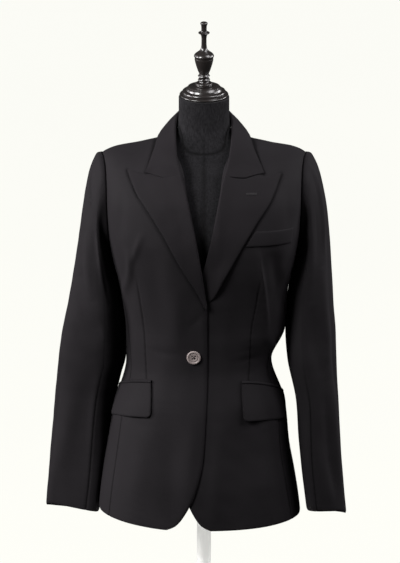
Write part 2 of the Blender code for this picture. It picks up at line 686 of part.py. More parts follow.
# ---------------------------------------------------------------- sleeves
def armhole_point(turn):
    """A point of the armhole seam. 0 is the shoulder, 90 the front, 180 the underarm."""
    share = (1 + np.cos(np.radians(turn))) / 2
    share = np.arccos(1 - 2 * share) / np.pi
    level = UNDERARM + share * (RIDGE - UNDERARM)
    front = np.sin(np.radians(turn)) >= 0
    angle = np.where(front, 90 - armhole_angle(level, ARMHOLE_FRONT), 90 + armhole_angle(level, ARMHOLE_BACK))
    return angle, level


def sleeve_surface(side, turn, rows):
    """Points of a sleeve's outer face: turn in degrees round it, rows from the armhole to the cuff."""
    table = SLEEVE_RIGHT if side < 0 else SLEEVE_LEFT
    angle, level = armhole_point(turn)
    seam = torso(side * angle, level) + np.array([side * SLEEVE_GAP, 0, 0])
    radians = np.radians(turn)
    slant = CUFF_SLANT_RIGHT if side < 0 else CUFF_SLANT_LEFT

    def ring(height):
        power = SLEEVE_ROUND - CUFF_SQUARE * ease(height, *CUFF_SQUARE_REACH)
        wide = np.sign(np.cos(radians)) * np.abs(np.cos(radians)) ** power
        deep = np.sign(np.sin(radians)) * np.abs(np.sin(radians)) ** power
        outer, inner = smooth(table, height, 1), smooth(table, height, 2)
        across = side * ((outer + inner) / 2 + (outer - inner) / 2 * wide)
        depth = smooth(table, height, 3) - smooth(table, height, 4) * deep
        depth = depth + SLEEVE_TURN * ease(height, *SLEEVE_TURN_REACH) * np.clip(-wide, 0, 1) ** 3
        depth = depth + SLEEVE_FACE * wide * np.clip(deep, 0, 1)
        off_level = slant * wide + CUFF_TILT * smooth(table, height, 4) * deep
        return np.stack([across, depth, height + off_level * ease(height, *CUFF_SLANT_REACH)], axis=-1)

    bicep, cuff = table[0, 0], table[-1, 0]
    first, step = ring(bicep), 0.01
    slope = (ring(bicep - step) - first) / step
    reach = np.linalg.norm(first - seam, axis=-1)[:, None]
    cap = (1 + np.cos(radians))[:, None] / 2
    leave = np.stack([side * np.ones(len(turn)), -0.35 * np.sin(radians), -0.9 + 1.0 * cap[:, 0]], axis=-1)
    leave = leave / np.linalg.norm(leave, axis=-1, keepdims=True) * reach * (0.75 - 0.35 * cap)
    arrive = slope * reach * (1.0 + 0.35 * cap)
    points = []
    for row in rows:
        if row <= 1:
            points.append(
                seam * (1 + 2 * row) * (1 - row) ** 2 + leave * row * (1 - row) ** 2
                + first * row * row * (3 - 2 * row) + arrive * row * row * (row - 1)
            )
        else:
            points.append(ring(bicep + (cuff - bicep) * (row - 1)))
    return np.stack(points)


SLEEVE_ROWS = np.concatenate([np.linspace(0, 1, 9), np.linspace(1, 2, 11)[1:]])


def sleeve_piece(name, side, start, end, columns, finish):
    turn = np.linspace(start, end, columns)
    small = 0.5
    surface = sleeve_surface(side, turn, SLEEVE_ROWS)
    ahead = sleeve_surface(side, turn + small, SLEEVE_ROWS)
    behind = sleeve_surface(side, turn - small, SLEEVE_ROWS)
    round_it = ahead - behind
    down = np.gradient(surface, axis=0)
    normal = np.cross(down, round_it) * -side
    normal /= np.maximum(np.linalg.norm(normal, axis=-1, keepdims=True), 1e-9)
    normal *= np.sign(np.sum(normal[-1, columns // 2] * (surface[-1, columns // 2] - surface_centre(side))))
    per_degree = np.linalg.norm(round_it, axis=-1, keepdims=True)
    unit = round_it / np.maximum(per_degree, 1e-9)
    surface[:, 0] += unit[:, 0] * SEAM_GAP * 0.7
    surface[:, -1] -= unit[:, -1] * SEAM_GAP * 0.7
    return shell(name, surface, surface - normal * CLOTH, finish)


def surface_centre(side):
    table = SLEEVE_RIGHT if side < 0 else SLEEVE_LEFT
    last = table[-1]
    return np.array([side * (last[1] + last[2]) / 2, last[3], last[0]])


# ---------------------------------------------------------------- button
def front_button(name, finish):
    """A four-hole button with a turned rim and a groove, lying on the right front."""
    r, t = BUTTON_RADIUS, BUTTON_THICKNESS
    profile = [
        (0.62 * r, 0), (0.93 * r, 0.25 * t), (r, 0.55 * t), (0.96 * r, 0.92 * t), (0.86 * r, t),
        (0.74 * r, 0.90 * t), (0.68 * r, 0.66 * t), (0.62 * r, 0.76 * t), (0.30 * r, 0.62 * t),
    ]
    made = turned(name, profile, finish, 36)
    for k in range(4):
        corner = np.pi / 4 + k * np.pi / 2
        cutter = turned(f"{name}_hole_{k}", [(HOLE_RADIUS, -r), (HOLE_RADIUS, r)], finish, 8)
        cutter.location = (HOLE_OFFSET * np.cos(corner), HOLE_OFFSET * np.sin(corner), 0)
        cutter.hide_render = True
        cutter.display_type = "WIRE"
        cutter.parent = made
        hole = made.modifiers.new(f"hole_{k}", "BOOLEAN")
        hole.operation = "DIFFERENCE"
        hole.object = cutter
    across, height = np.array(BUTTON_AT[0]), BUTTON_AT[1]
    level = level_of(across, height)
    angle = angle_of(across, level)
    normal = outward(angle, level)
    made.location = torso(angle, level) + normal * (OVERLAP_LIFT + BUTTON_SHANK)
    tilt = np.arctan2(np.hypot(normal[0], normal[1]), normal[2])
    made.rotation_euler = (tilt, 0, np.arctan2(normal[0], -normal[1]))
    return made


# ---------------------------------------------------------------- the form and its stand
def form_torso(name, finish):
    turn = np.linspace(0, 2 * np.pi, 36, endpoint=False)
    loops = []
    for height in np.concatenate([np.linspace(FORM[0, 0], 0.88, 13), np.linspace(0.89, FORM[-1, 0], 15)]):
        wide, front, back, square = (smooth(FORM, height, k) for k in (1, 2, 3, 4))
        power = 2 / square
        across = wide * np.sign(np.sin(turn)) * np.abs(np.sin(turn)) ** power
        depth = np.where(np.cos(turn) > 0, -front, back) * np.abs(np.cos(turn)) ** power
        across = across - FORM_SHIFT * (1 - ease(height, *FORM_SHIFT_REACH))
        lean = np.tan(np.radians(CAP_LEAN)) * ease(height, 0.99, FORM[-1, 0])
        loops.append(np.stack([across, depth, height + (depth - CAP_SEAT[1]) * lean], axis=-1))
    return rings(name, loops, finish)


def form_board(name, finish):
    """The wooden board under the form, which the pole carries."""
    turn = np.linspace(0, 2 * np.pi, 36, endpoint=False)
    wide, front, back = FORM[0, 1:4] - BOARD_INSET
    across = wide * np.sin(turn) - FORM_SHIFT
    depth = np.where(np.cos(turn) > 0, -front, back) * np.abs(np.cos(turn))
    top = FORM[0, 0] - SEAM_GAP
    loops = [np.stack([across, depth, np.full(36, h)], axis=-1) for h in (top - BOARD_THICKNESS, top)]
    return rings(name, loops, finish)


def leaned(made):
    made.location = CAP_SEAT
    made.rotation_euler = (np.radians(CAP_LEAN), 0, 0)


def build():
    for leftover in list(bpy.data.objects):
        bpy.data.objects.remove(leftover)
    cloth = material("black_suiting", BLACK, 0.85)
    horn = material("pale_button", PALE, 0.35)
    heather = material("heathered_jersey", HEATHER, 0.95)
    ebony = material("ebonised_wood", EBONY, 0.25)
    enamel = material("white_enamel", WHITE, 0.35)

    for word, side in (("right", -1), ("left", 1)):
        front_panel(f"front_{word}", side, cloth)
        side_panel(f"side_{word}", side, cloth)
        back_panel(f"back_{word}", side, cloth)
        lapel(f"lapel_{word}", side, cloth)
        sleeve_piece(f"sleeve_top_{word}", side, HIND_SEAM - 360, FORE_SEAM, 12, cloth)
        sleeve_piece(f"sleeve_under_{word}", side, FORE_SEAM, HIND_SEAM, 7, cloth)
        start = FLAP_FRONT_RIGHT if side < 0 else FLAP_FRONT_LEFT
        flap(f"flap_{word}", side, start, cloth)
        jet(f"jet_{word}", side, start, cloth)
    breast_welt("breast_welt", cloth)
    collar_fall("collar_fall", cloth)
    collar_stand("collar_stand", cloth)
    front_button("button", horn)

    form_torso("form_torso", heather)
    form_board("form_board", enamel)
    leaned(turned("neck_cap", CAP_PROFILE, ebony))
    top = CAP_PROFILE[-1][1] + SEAM_GAP
    leaned(turned("finial", [(r, z + top) for r, z in FINIAL_PROFILE], ebony, 24))
    board_under = FORM[0, 0] - SEAM_GAP - BOARD_THICKNESS
    pole_ends = [(POLE_RADIUS, BASE_THICKNESS + SEAM_GAP), (POLE_RADIUS, board_under - SEAM_GAP)]
    turned("pole", pole_ends, enamel, 24)
    rim = [(BASE_RADIUS - 0.002, 0), (BASE_RADIUS, 0.003), (BASE_RADIUS, BASE_THICKNESS - 0.003)]
    turned("stand_base", [*rim, (BASE_RADIUS - 0.004, BASE_THICKNESS)], enamel, 48)


build()
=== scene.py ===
"""The finish of a single breasted blazer with peak lapels, on a limbless dress form.

Front is -Y and the wearer's right is -X. The cloth hangs on one curved surface, torso(angle,
level): the angle goes from 0 at the front centre to 180 degrees at the back centre, and the
level is a row of SECTIONS, in between too. Every panel is a thin shell cut from it.
"""

import json

import bpy
import numpy as np
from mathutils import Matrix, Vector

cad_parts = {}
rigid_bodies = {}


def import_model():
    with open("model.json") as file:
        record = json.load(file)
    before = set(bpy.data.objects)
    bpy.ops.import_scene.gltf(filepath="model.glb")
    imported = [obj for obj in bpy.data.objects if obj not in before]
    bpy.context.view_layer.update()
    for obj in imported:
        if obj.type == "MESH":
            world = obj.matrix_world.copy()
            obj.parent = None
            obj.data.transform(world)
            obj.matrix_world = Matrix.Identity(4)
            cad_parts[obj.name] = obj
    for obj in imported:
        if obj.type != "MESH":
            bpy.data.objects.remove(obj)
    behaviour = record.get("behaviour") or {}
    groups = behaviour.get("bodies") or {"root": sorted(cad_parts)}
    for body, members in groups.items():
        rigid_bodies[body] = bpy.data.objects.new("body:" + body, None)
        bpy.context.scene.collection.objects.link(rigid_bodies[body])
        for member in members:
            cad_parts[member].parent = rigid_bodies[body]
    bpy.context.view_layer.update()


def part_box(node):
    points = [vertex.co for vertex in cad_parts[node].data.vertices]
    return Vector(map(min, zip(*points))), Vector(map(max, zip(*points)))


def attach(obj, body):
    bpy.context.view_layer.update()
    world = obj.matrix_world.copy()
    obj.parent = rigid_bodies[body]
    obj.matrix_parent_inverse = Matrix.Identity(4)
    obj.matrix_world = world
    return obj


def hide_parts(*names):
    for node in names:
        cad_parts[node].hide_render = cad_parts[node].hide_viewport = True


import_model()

# ---------------------------------------------------------------- sizes taken from the frame
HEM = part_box("front_left")[0][2]
BUTTON_LOW, BUTTON_HIGH = (np.array(corner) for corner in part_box("button"))
BUTTON_SETTLED = 0.0018  # how much nearer to the cloth it sits than its solid
BUTTON_THICKNESS = 0.0036
HOLE_RADIUS = 0.0012
HOLE_OFFSET = 0.0032  # of each hole from the button's centre
THREAD_RADIUS = 0.00020
STITCH_RADIUS = 0.00026

WORD = {-1: "right", 1: "left"}
CLOTH = 0.0020
COLLAR_CLOTH = 0.0015
BAND_CLOTH = 0.0014
LAPEL_CLOTH = 0.0016
WELT_CLOTH = 0.0011
SEAM_GAP = 0.0003
SEAM_EASE = 0.016  # how far from its seams a panel's creases fade in
OVERLAP_LIFT = 0.0036  # how far the top front stands off where it laps over the other
UNDERLAP_DROP = 0.0010
COLLAR_LIFT = 0.0042
LAPEL_LIFT = 0.0034  # of a lapel's outer face above its front
LAPEL_ROLL = 0.0024  # how far from the roll line a lapel is rounded
COLLAR_ROLL = 0.0045  # and the collar, from its fold
WELT_LIFT = 0.0023
POCKET_LIFT = 0.0040
POCKET_CLOTH = 0.0019
SLEEVE_GAP = 0.0005
SLEEVE_TURN = 0.030  # how far back the inner edge of an upper sleeve lies
SLEEVE_FACE = 0.020  # how far a sleeve's front is turned outwards, from its middle to its edge
SLEEVE_TURN_REACH = (0.02, 0.32)
METRES_ROUND = 0.052 / 57.3  # round a sleeve, for one degree
CUFF_SLANT = {-1: 0.0050, 1: -0.0041}  # how far a cuff's outer end is raised and its inner one lowered
CUFF_TILT = 0.21  # how much a cuff rises towards the front, as a slope
BREAK = 0.413  # the lapels' break, above the hem
UNDER_ROLL = 0.0035  # how far behind the roll line a front's own edge lies
NECK_POINT = 0.066

# above the hem, half width right, half width left, front depth, back depth, squareness, shoulder rise
SECTIONS = np.array([
    (0.000, 0.1880, 0.1730, 0.140, 0.138, 2.20, 0.00),
    (0.068, 0.1800, 0.1620, 0.140, 0.144, 2.20, 0.00),
    (0.135, 0.1700, 0.1500, 0.135, 0.140, 2.25, 0.00),
    (0.208, 0.1575, 0.1440, 0.128, 0.122, 2.30, 0.00),
    (0.285, 0.1390, 0.1207, 0.115, 0.097, 2.30, 0.00),
    (0.348, 0.1410, 0.1460, 0.120, 0.098, 2.40, 0.00),
    (0.413, 0.1490, 0.1500, 0.131, 0.106, 2.60, 0.00),
    (0.478, 0.1640, 0.1640, 0.142, 0.115, 2.90, 0.00),
    (0.525, 0.1720, 0.1720, 0.146, 0.118, 3.10, 0.03),
    (0.578, 0.1770, 0.1770, 0.138, 0.116, 3.15, 0.12),
    (0.613, 0.1790, 0.1790, 0.118, 0.106, 3.00, 0.35),
    (0.638, 0.1805, 0.1805, 0.088, 0.086, 2.80, 0.65),
    (0.653, 0.1815, 0.1815, 0.046, 0.048, 2.80, 0.90),
    (0.659, 0.1820, 0.1820, 0.000, 0.000, 2.80, 1.00),
])
HEIGHT, WIDE_RIGHT, WIDE_LEFT, FRONT, BACK, SQUARE, RISE = range(7)
UNDERARM = 7.0
RIDGE = len(SECTIONS) - 1.0
RIDGE_DEPTH = 0.012
SIDE_HEM_RISE_RIGHT = 0.013
SIDE_HEM_RISE_LEFT = 0.0055

# across, shoulder line above the hem
SHOULDER = np.array([
    (0.000, 0.711),
    (0.040, 0.700),
    (0.066, 0.692),
    (0.085, 0.6845),
    (0.121, 0.6765),
    (0.155, 0.6712),
    (0.171, 0.6655),
    (0.182, 0.659),
])
# above the hem, across: the edge of the top front
TOP_EDGE = np.array([
    (0.0000, -0.0660),
    (0.0070, -0.0520),
    (0.0268, -0.0360),
    (0.0578, -0.0204),
    (0.0900, -0.0100),
    (0.1280, -0.0025),
    (0.1960, 0.0023),
    (0.2880, 0.0055),
    (0.4130, 0.0050),
])
CENTRE_FRONT = np.array([(0.000, -0.0275), (0.314, -0.0210), (0.413, -0.0200)])
# above the hem, roll line of the right lapel, roll line of the left lapel
ROLL = np.array([
    (0.413, 0.0050, -0.0400),
    (0.473, -0.0040, -0.0020),
    (0.528, -0.0135, 0.0120),
    (0.578, -0.0232, 0.0215),
    (0.623, -0.0328, 0.0300),
    (0.643, -0.0388, 0.0355),
])
# lapels: share of the way up, across, above the hem
LAPEL_EDGE = {
    -1: np.array([
        (0.00, 0.0030, 0.404),
        (0.14, -0.0130, 0.437),
        (0.28, -0.0400, 0.481),
        (0.45, -0.0720, 0.538),
        (0.62, -0.0980, 0.578),
        (0.80, -0.1190, 0.607),
        (1.00, -0.1360, 0.6425),
    ]),
    1: np.array([
        (0.00, -0.0420, 0.404),
        (0.14, 0.0080, 0.416),
        (0.28, 0.0370, 0.463),
        (0.45, 0.0690, 0.520),
        (0.62, 0.0935, 0.560),
        (0.80, 0.1180, 0.596),
        (1.00, 0.1365, 0.6375),
    ]),
}
# across, above the hem: the gorge and the top of the peak, from the roll line outwards
GORGE = {
    -1: np.array([(-0.0385, 0.638), (-0.0745, 0.634), (-0.1030, 0.638), (-0.1360, 0.6425)]),
    1: np.array([(0.0355, 0.638), (0.0650, 0.631), (0.1060, 0.634), (0.1365, 0.6375)]),
}
COLLAR_TIP = {-1: (-0.1030, 0.640), 1: (0.1060, 0.639)}
# half of the collar: the fold across, deep, above the hem; the outer edge across, deep, above the hem
COLLAR = np.array([
    (0.0515, -0.0080, 0.7145, 0.0880, -0.0380, 0.680),
    (0.0490, 0.0120, 0.7265, 0.0815, 0.0120, 0.692),
    (0.0400, 0.0420, 0.7330, 0.0720, 0.0650, 0.692),
    (0.0210, 0.0600, 0.7350, 0.0390, 0.0880, 0.692),
    (0.0000, 0.0650, 0.7360, 0.0000, 0.0950, 0.692),
])
# half of the collar band: the foot, and the front of the top; the rest of the top follows the fold
BAND_FOOT = np.array([
    (0.060, -0.014, 0.6860),
    (0.065, 0.012, 0.6960),
    (0.062, 0.034, 0.6970),
    (0.048, 0.053, 0.6970),
    (0.026, 0.064, 0.6965),
    (0.000, 0.067, 0.6960),
])
BAND_FRONT = [(0.0505, -0.0120, 0.7090), (0.0510, -0.0020, 0.7190)]
# sleeves: above the hem, outer edge, inner edge, depth of the centre, half depth
SLEEVE = {
    -1: np.array([
        (0.4630, 0.2300, 0.1610, 0.004, 0.067),
        (0.3880, 0.2425, 0.1445, 0.004, 0.062),
        (0.3330, 0.2536, 0.1390, 0.010, 0.057),
        (0.2850, 0.2600, 0.1390, 0.018, 0.053),
        (0.2500, 0.2637, 0.1475, 0.027, 0.050),
        (0.2080, 0.2675, 0.1575, 0.036, 0.047),
        (0.1350, 0.2735, 0.1695, 0.042, 0.042),
        (-0.0020, 0.2842, 0.1885, 0.050, 0.034),
    ]),
    1: np.array([
        (0.4630, 0.2275, 0.1610, -0.002, 0.067),
        (0.3880, 0.2315, 0.1485, -0.008, 0.062),
        (0.3330, 0.2358, 0.1455, -0.012, 0.057),
        (0.2850, 0.2370, 0.1490, -0.018, 0.053),
        (0.2080, 0.2410, 0.1650, -0.018, 0.050),
        (0.1350, 0.2446, 0.1696, -0.017, 0.048),
        (0.0078, 0.2556, 0.1840, -0.015, 0.046),
    ]),
}
ARMHOLE_FRONT = 17.0
ARMHOLE_BACK = 21.0
FORE_SEAM = 106.0
HIND_SEAM = 240.0
FRONT_SEAM = (64.0, 79.0)
BACK_SEAM = (118.0, 101.0)

FLAP_TOP = 0.2665
FLAP_DEPTH = {-1: 0.0595, 1: 0.0645}
FLAP_LENGTH = 0.132
FLAP_DROP = {-1: 0.017, 1: 0.0135}  # how much lower a flap's lower edge is at its back end
FLAP_TAPER = {-1: 0.014, 1: 0.0250}  # how much narrower a flap is at its back end
FLAP_FRONT = {-1: -0.0945, 1: 0.0695}
FLAP_ROUND = 0.0085  # radius of a flap's lower corners
FLAP_GAP = 0.0006  # between a flap and its jet
JET_DEPTH = 0.0055
GORGE_TUCK = 0.0014  # how far the collar laps over a lapel's top along their seam
WELT_TOP = ((0.0905, 0.5455), (0.1570, 0.5440))
WELT_FOOT = ((0.0740, 0.5190), (0.1540, 0.5180))
WELT_LENGTH, WELT_DEPTH = 0.078, 0.026
BUTTONHOLE = ((0.0740, 0.6085), (0.0925, 0.6080))
# front darts: above the hem, across on the right front, across on the left front
DART = np.array([
    (0.2700, -0.1020, 0.0800),
    (0.3500, -0.1060, 0.0835),
    (0.4100, -0.1135, 0.0930),
    (0.4640, -0.1215, 0.1010),
])
DART_REACH = (0.262, 0.468)

# Creases: start, bend and end as (across, above the hem), half width, height of the ridge
FRONT_CREASES = {
    -1: [
        (-0.140, 0.512, -0.122, 0.480, -0.142, 0.420, 0.0060, 0.0042),
        (-0.137, 0.450, -0.147, 0.400, -0.147, 0.350, 0.0080, 0.0036),
        (-0.108, 0.545, -0.120, 0.510, -0.130, 0.480, 0.0060, 0.0024),
        (-0.092, 0.520, -0.080, 0.440, -0.078, 0.330, 0.0200, -0.0034),
        (-0.052, 0.450, -0.046, 0.380, -0.050, 0.310, 0.0150, 0.0020),
        (0.001, 0.400, -0.010, 0.382, -0.030, 0.366, 0.0065, -0.0008),
        (-0.004, 0.400, -0.002, 0.360, 0.000, 0.300, 0.0060, 0.0008),
        (-0.112, 0.190, -0.116, 0.110, -0.118, 0.000, 0.0220, 0.0046),
        (-0.066, 0.240, -0.062, 0.120, -0.058, -0.010, 0.0230, -0.0050),
        (-0.018, 0.220, -0.022, 0.140, -0.032, 0.020, 0.0160, 0.0020),
        (-0.145, 0.610, -0.148, 0.570, -0.150, 0.520, 0.0090, -0.0022),
        (-0.040, 0.320, -0.070, 0.315, -0.100, 0.325, 0.0060, -0.0010),
    ],
    1: [
        (0.094, 0.515, 0.104, 0.430, 0.112, 0.320, 0.0075, 0.0034),
        (0.096, 0.515, 0.105, 0.440, 0.115, 0.350, 0.0034, 0.0034),
        (0.120, 0.510, 0.133, 0.450, 0.136, 0.390, 0.0110, -0.0046),
        (0.112, 0.350, 0.124, 0.320, 0.132, 0.290, 0.0080, 0.0026),
        (0.066, 0.480, 0.060, 0.400, 0.058, 0.310, 0.0190, -0.0026),
        (0.036, 0.400, 0.034, 0.330, 0.036, 0.250, 0.0160, 0.0022),
        (0.112, 0.190, 0.112, 0.110, 0.110, 0.000, 0.0200, 0.0034),
        (0.070, 0.230, 0.064, 0.120, 0.060, -0.010, 0.0220, -0.0040),
        (0.026, 0.200, 0.022, 0.110, 0.016, 0.000, 0.0160, 0.0028),
        (0.146, 0.620, 0.150, 0.580, 0.150, 0.530, 0.0090, -0.0018),
        (0.105, 0.308, 0.085, 0.300, 0.055, 0.305, 0.0060, -0.0012),
    ],
}
BACK_CREASES = {
    -1: [
        (-0.040, 0.500, -0.052, 0.400, -0.044, 0.300, 0.0180, -0.0030),
        (-0.092, 0.540, -0.090, 0.440, -0.084, 0.330, 0.0150, 0.0028),
        (-0.020, 0.300, -0.050, 0.290, -0.086, 0.300, 0.0080, -0.0020),
        (-0.050, 0.240, -0.062, 0.120, -0.070, -0.010, 0.0230, -0.0042),
        (-0.112, 0.200, -0.114, 0.110, -0.116, 0.000, 0.0200, 0.0034),
        (-0.142, 0.600, -0.136, 0.560, -0.132, 0.500, 0.0100, -0.0026),
    ],
    1: [
        (0.044, 0.480, 0.050, 0.390, 0.042, 0.300, 0.0180, -0.0030),
        (0.088, 0.550, 0.088, 0.450, 0.082, 0.340, 0.0150, 0.0026),
        (0.016, 0.310, 0.044, 0.296, 0.078, 0.306, 0.0080, -0.0022),
        (0.054, 0.230, 0.060, 0.110, 0.064, -0.010, 0.0220, -0.0040),
        (0.108, 0.210, 0.110, 0.110, 0.108, 0.000, 0.0200, 0.0030),
        (0.144, 0.590, 0.138, 0.550, 0.136, 0.500, 0.0100, -0.0024),
    ],
}
# on a side panel: (deep, above the hem)
SIDE_CREASES = [
    (-0.010, 0.460, 0.004, 0.390, 0.002, 0.310, 0.0110, -0.0022),
    (0.010, 0.230, 0.006, 0.120, 0.010, 0.000, 0.0160, 0.0028),
]
# on a sleeve: (degrees round it, above the hem)
SLEEVE_CREASES = {
    -1: [
        (26, 0.642, 42, 0.606, 78, 0.574, 0.0045, 0.0048),
        (30, 0.600, 46, 0.520, 52, 0.440, 0.0130, 0.0044),
        (88, 0.535, 100, 0.470, 118, 0.400, 0.0090, -0.0040),
        (62, 0.530, 74, 0.460, 88, 0.400, 0.0100, 0.0042),
        (34, 0.440, 58, 0.400, 96, 0.350, 0.0110, 0.0026),
        (48, 0.415, 72, 0.370, 112, 0.325, 0.0090, -0.0030),
        (20, 0.390, 50, 0.330, 92, 0.290, 0.0120, 0.0022),
        (60, 0.280, 66, 0.180, 70, 0.060, 0.0150, 0.0020),
        (98, 0.270, 96, 0.170, 96, 0.060, 0.0130, -0.0026),
        (24, 0.300, 30, 0.200, 26, 0.060, 0.0130, -0.0026),
        (200, 0.420, 230, 0.370, 262, 0.345, 0.0110, -0.0046),
        (210, 0.390, 240, 0.335, 280, 0.315, 0.0110, 0.0046),
        (-40, 0.560, -60, 0.470, -74, 0.400, 0.0130, -0.0040),
        (-88, 0.540, -92, 0.450, -96, 0.370, 0.0120, 0.0034),
        (-50, 0.260, -54, 0.160, -50, 0.050, 0.0140, 0.0030),
    ],
    1: [
        (48, 0.650, 54, 0.580, 58, 0.480, 0.0065, 0.0052),
        (30, 0.620, 34, 0.520, 36, 0.420, 0.0110, -0.0034),
        (78, 0.600, 82, 0.530, 86, 0.470, 0.0110, -0.0024),
        (92, 0.540, 98, 0.460, 106, 0.400, 0.0100, 0.0036),
        (110, 0.520, 120, 0.460, 132, 0.410, 0.0090, -0.0036),
        (62, 0.470, 58, 0.380, 50, 0.280, 0.0120, 0.0044),
        (90, 0.400, 84, 0.330, 74, 0.260, 0.0110, -0.0034),
        (36, 0.390, 30, 0.300, 26, 0.220, 0.0110, -0.0032),
        (46, 0.260, 44, 0.160, 40, 0.040, 0.0150, 0.0036),
        (74, 0.240, 70, 0.140, 72, 0.040, 0.0130, -0.0034),
        (98, 0.160, 92, 0.090, 86, 0.026, 0.0090, 0.0034),
        (205, 0.430, 232, 0.385, 266, 0.350, 0.0110, -0.0046),
        (214, 0.400, 244, 0.350, 284, 0.330, 0.0110, 0.0044),
        (-44, 0.550, -60, 0.460, -72, 0.390, 0.0130, -0.0038),
        (-90, 0.530, -94, 0.440, -98, 0.360, 0.0120, 0.0032),
        (-48, 0.250, -52, 0.150, -50, 0.050, 0.0140, 0.0030),
    ],
}

# the form: above the hem, half width, front depth, back depth, squareness
FORM = np.array([
    (0.0730, 0.1550, 0.118, 0.120, 2.2),
    (0.1280, 0.1430, 0.112, 0.118, 2.2),
    (0.2080, 0.1260, 0.108, 0.104, 2.2),
    (0.2850, 0.1070, 0.100, 0.082, 2.2),
    (0.3480, 0.1180, 0.104, 0.084, 2.3),
    (0.4130, 0.1340, 0.116, 0.092, 2.4),
    (0.4780, 0.1480, 0.126, 0.101, 2.5),
    (0.5280, 0.1560, 0.130, 0.104, 2.5),
    (0.5730, 0.1590, 0.122, 0.102, 2.5),
    (0.6080, 0.1580, 0.102, 0.092, 2.4),
    (0.6350, 0.1500, 0.074, 0.076, 2.3),
    (0.6520, 0.1320, 0.054, 0.062, 2.2),
    (0.6660, 0.1020, 0.046, 0.056, 2.1),
    (0.6780, 0.0730, 0.041, 0.055, 2.0),
    (0.6920, 0.0540, 0.037, 0.054, 2.0),
    (0.7080, 0.0470, 0.035, 0.055, 2.0),
    (0.7330, 0.0450, 0.036, 0.054, 2.0),
    (0.7620, 0.0450, 0.036, 0.054, 2.0),
])
FORM_SHIFT = 0.006  # the form's hips stand this far to the right
NECK_SEAM = 0.716
NECK_SEAM_DIP = 0.050  # how much lower the neck seam is at the front
# the button, as shares of its radius and thickness
BUTTON_PROFILE = [
    (0.10, 0.00), (0.62, 0.00), (0.80, 0.08), (0.93, 0.25), (0.985, 0.42), (1.00, 0.58), (0.985, 0.76),
    (0.95, 0.90), (0.90, 0.985), (0.85, 1.00), (0.78, 0.985), (0.725, 0.93), (0.70, 0.80), (0.675, 0.60),
    (0.65, 0.52), (0.62, 0.60), (0.595, 0.74), (0.56, 0.76), (0.45, 0.70), (0.30, 0.60), (0.10, 0.56),
]
# turned cap and finial: radius, above the neck's top along the leaning axis
CAP_PROFILE = np.array([
    (0.0100, 0.0000), (0.0420, 0.0000), (0.0433, 0.0006), (0.0436, 0.0018), (0.0430, 0.0030),
    (0.0406, 0.0038), (0.0388, 0.0046), (0.0390, 0.0058), (0.0386, 0.0080), (0.0370, 0.0096),
    (0.0344, 0.0104), (0.0324, 0.0108), (0.0318, 0.0122), (0.0304, 0.0146), (0.0288, 0.0160),
    (0.0284, 0.0170), (0.0272, 0.0175), (0.0100, 0.0176),
])
FINIAL_PROFILE = np.array([
    (0.0040, 0.0178), (0.0148, 0.0178), (0.0155, 0.0196), (0.0152, 0.0228), (0.0136, 0.0240),
    (0.0092, 0.0250), (0.0086, 0.0264), (0.0100, 0.0276), (0.0109, 0.0292), (0.0098, 0.0312),
    (0.0084, 0.0326), (0.0092, 0.0344), (0.0108, 0.0362), (0.0096, 0.0382), (0.0084, 0.0396),
    (0.0092, 0.0420), (0.0116, 0.0480), (0.0138, 0.0550), (0.0158, 0.0625), (0.0167, 0.0680),
    (0.0163, 0.0700), (0.0176, 0.0722), (0.0178, 0.0740), (0.0170, 0.0758), (0.0155, 0.0778),
    (0.0112, 0.0810), (0.0074, 0.0844), (0.0052, 0.0890), (0.0046, 0.0960), (0.0045, 0.1050),
    (0.0052, 0.1110), (0.0070, 0.1140), (0.0098, 0.1156), (0.0102, 0.1166), (0.0092, 0.1176),
    (0.0054, 0.1184), (0.0048, 0.1220), (0.0050, 0.1290), (0.0056, 0.1310), (0.0064, 0.1326),
    (0.0066, 0.1340), (0.0058, 0.1354), (0.0040, 0.1364), (0.0006, 0.1367),
])
CAP_LEAN = np.radians(6.5)
CAP_DEPTH = 0.009  # the axis of the cap, behind the frame's centre plane

THREAD_PITCH = 0.00085
NARROWEST = 0.0101  # the least side of a sheet that the frame takes
FLOOR_REACH = 60.0
SKY_ON_CLOTH = 0.04  # of the sky that is seen
CHEST = (0.0, 0.0, 0.85)
LAMP_SIZE = 1.3
# name, place, power, colour
LAMPS = [
    ("key", (-3.4, -0.3, 1.8), 130, (1.0, 0.965, 0.98)),
    ("front_left", (-2.2, -2.2, 2.6), 140, (0.985, 0.99, 0.98)),
    ("left_edge", (-3.0, 1.5, 1.6), 14, (1.0, 0.98, 1.0)),
    ("overhead", (1.5, -0.8, 3.0), 44, (1.0, 0.98, 1.0)),
    ("right", (3.2, -0.4, 1.9), 32, (1.0, 0.99, 1.0)),
    ("right_edge", (3.2, 1.2, 2.0), 60, (1.0, 0.99, 1.0)),
]
CAMERA_RAISED = np.radians(12.5)
CAMERA_AWAY = 16.0
HEIGHT_SHOWN = 1.0054
VIEW_CENTRE = np.array([-0.0071, 0.0, HEM + 0.4252])


# ---------------------------------------------------------------- curves and surfaces
def cubic(places, values, at):
    """A cubic through points that doesn't overshoot."""
    order = np.argsort(places)
    x, y = places[order], values[order]
    slope = np.diff(y) / np.diff(x)
    same_way = slope[1:] * slope[:-1] > 0
    total = np.where(same_way, slope[1:] + slope[:-1], 1)
    middle = np.where(same_way, 2 * slope[1:] * slope[:-1] / total, 0)
    tangent = np.concatenate([[slope[0]], middle, [slope[-1]]])
    at = np.clip(at, x[0], x[-1])
    i = np.clip(np.searchsorted(x, at, side="right") - 1, 0, len(x) - 2)
    step = x[i + 1] - x[i]
    t = (at - x[i]) / step
    return (
        y[i] * (1 + 2 * t) * (1 - t) ** 2 + tangent[i] * step * t * (1 - t) ** 2
        + y[i + 1] * t * t * (3 - 2 * t) + tangent[i + 1] * step * t * t * (t - 1)
    )


def smooth(table, at, column):
    return cubic(table[:, 0], table[:, column], at)


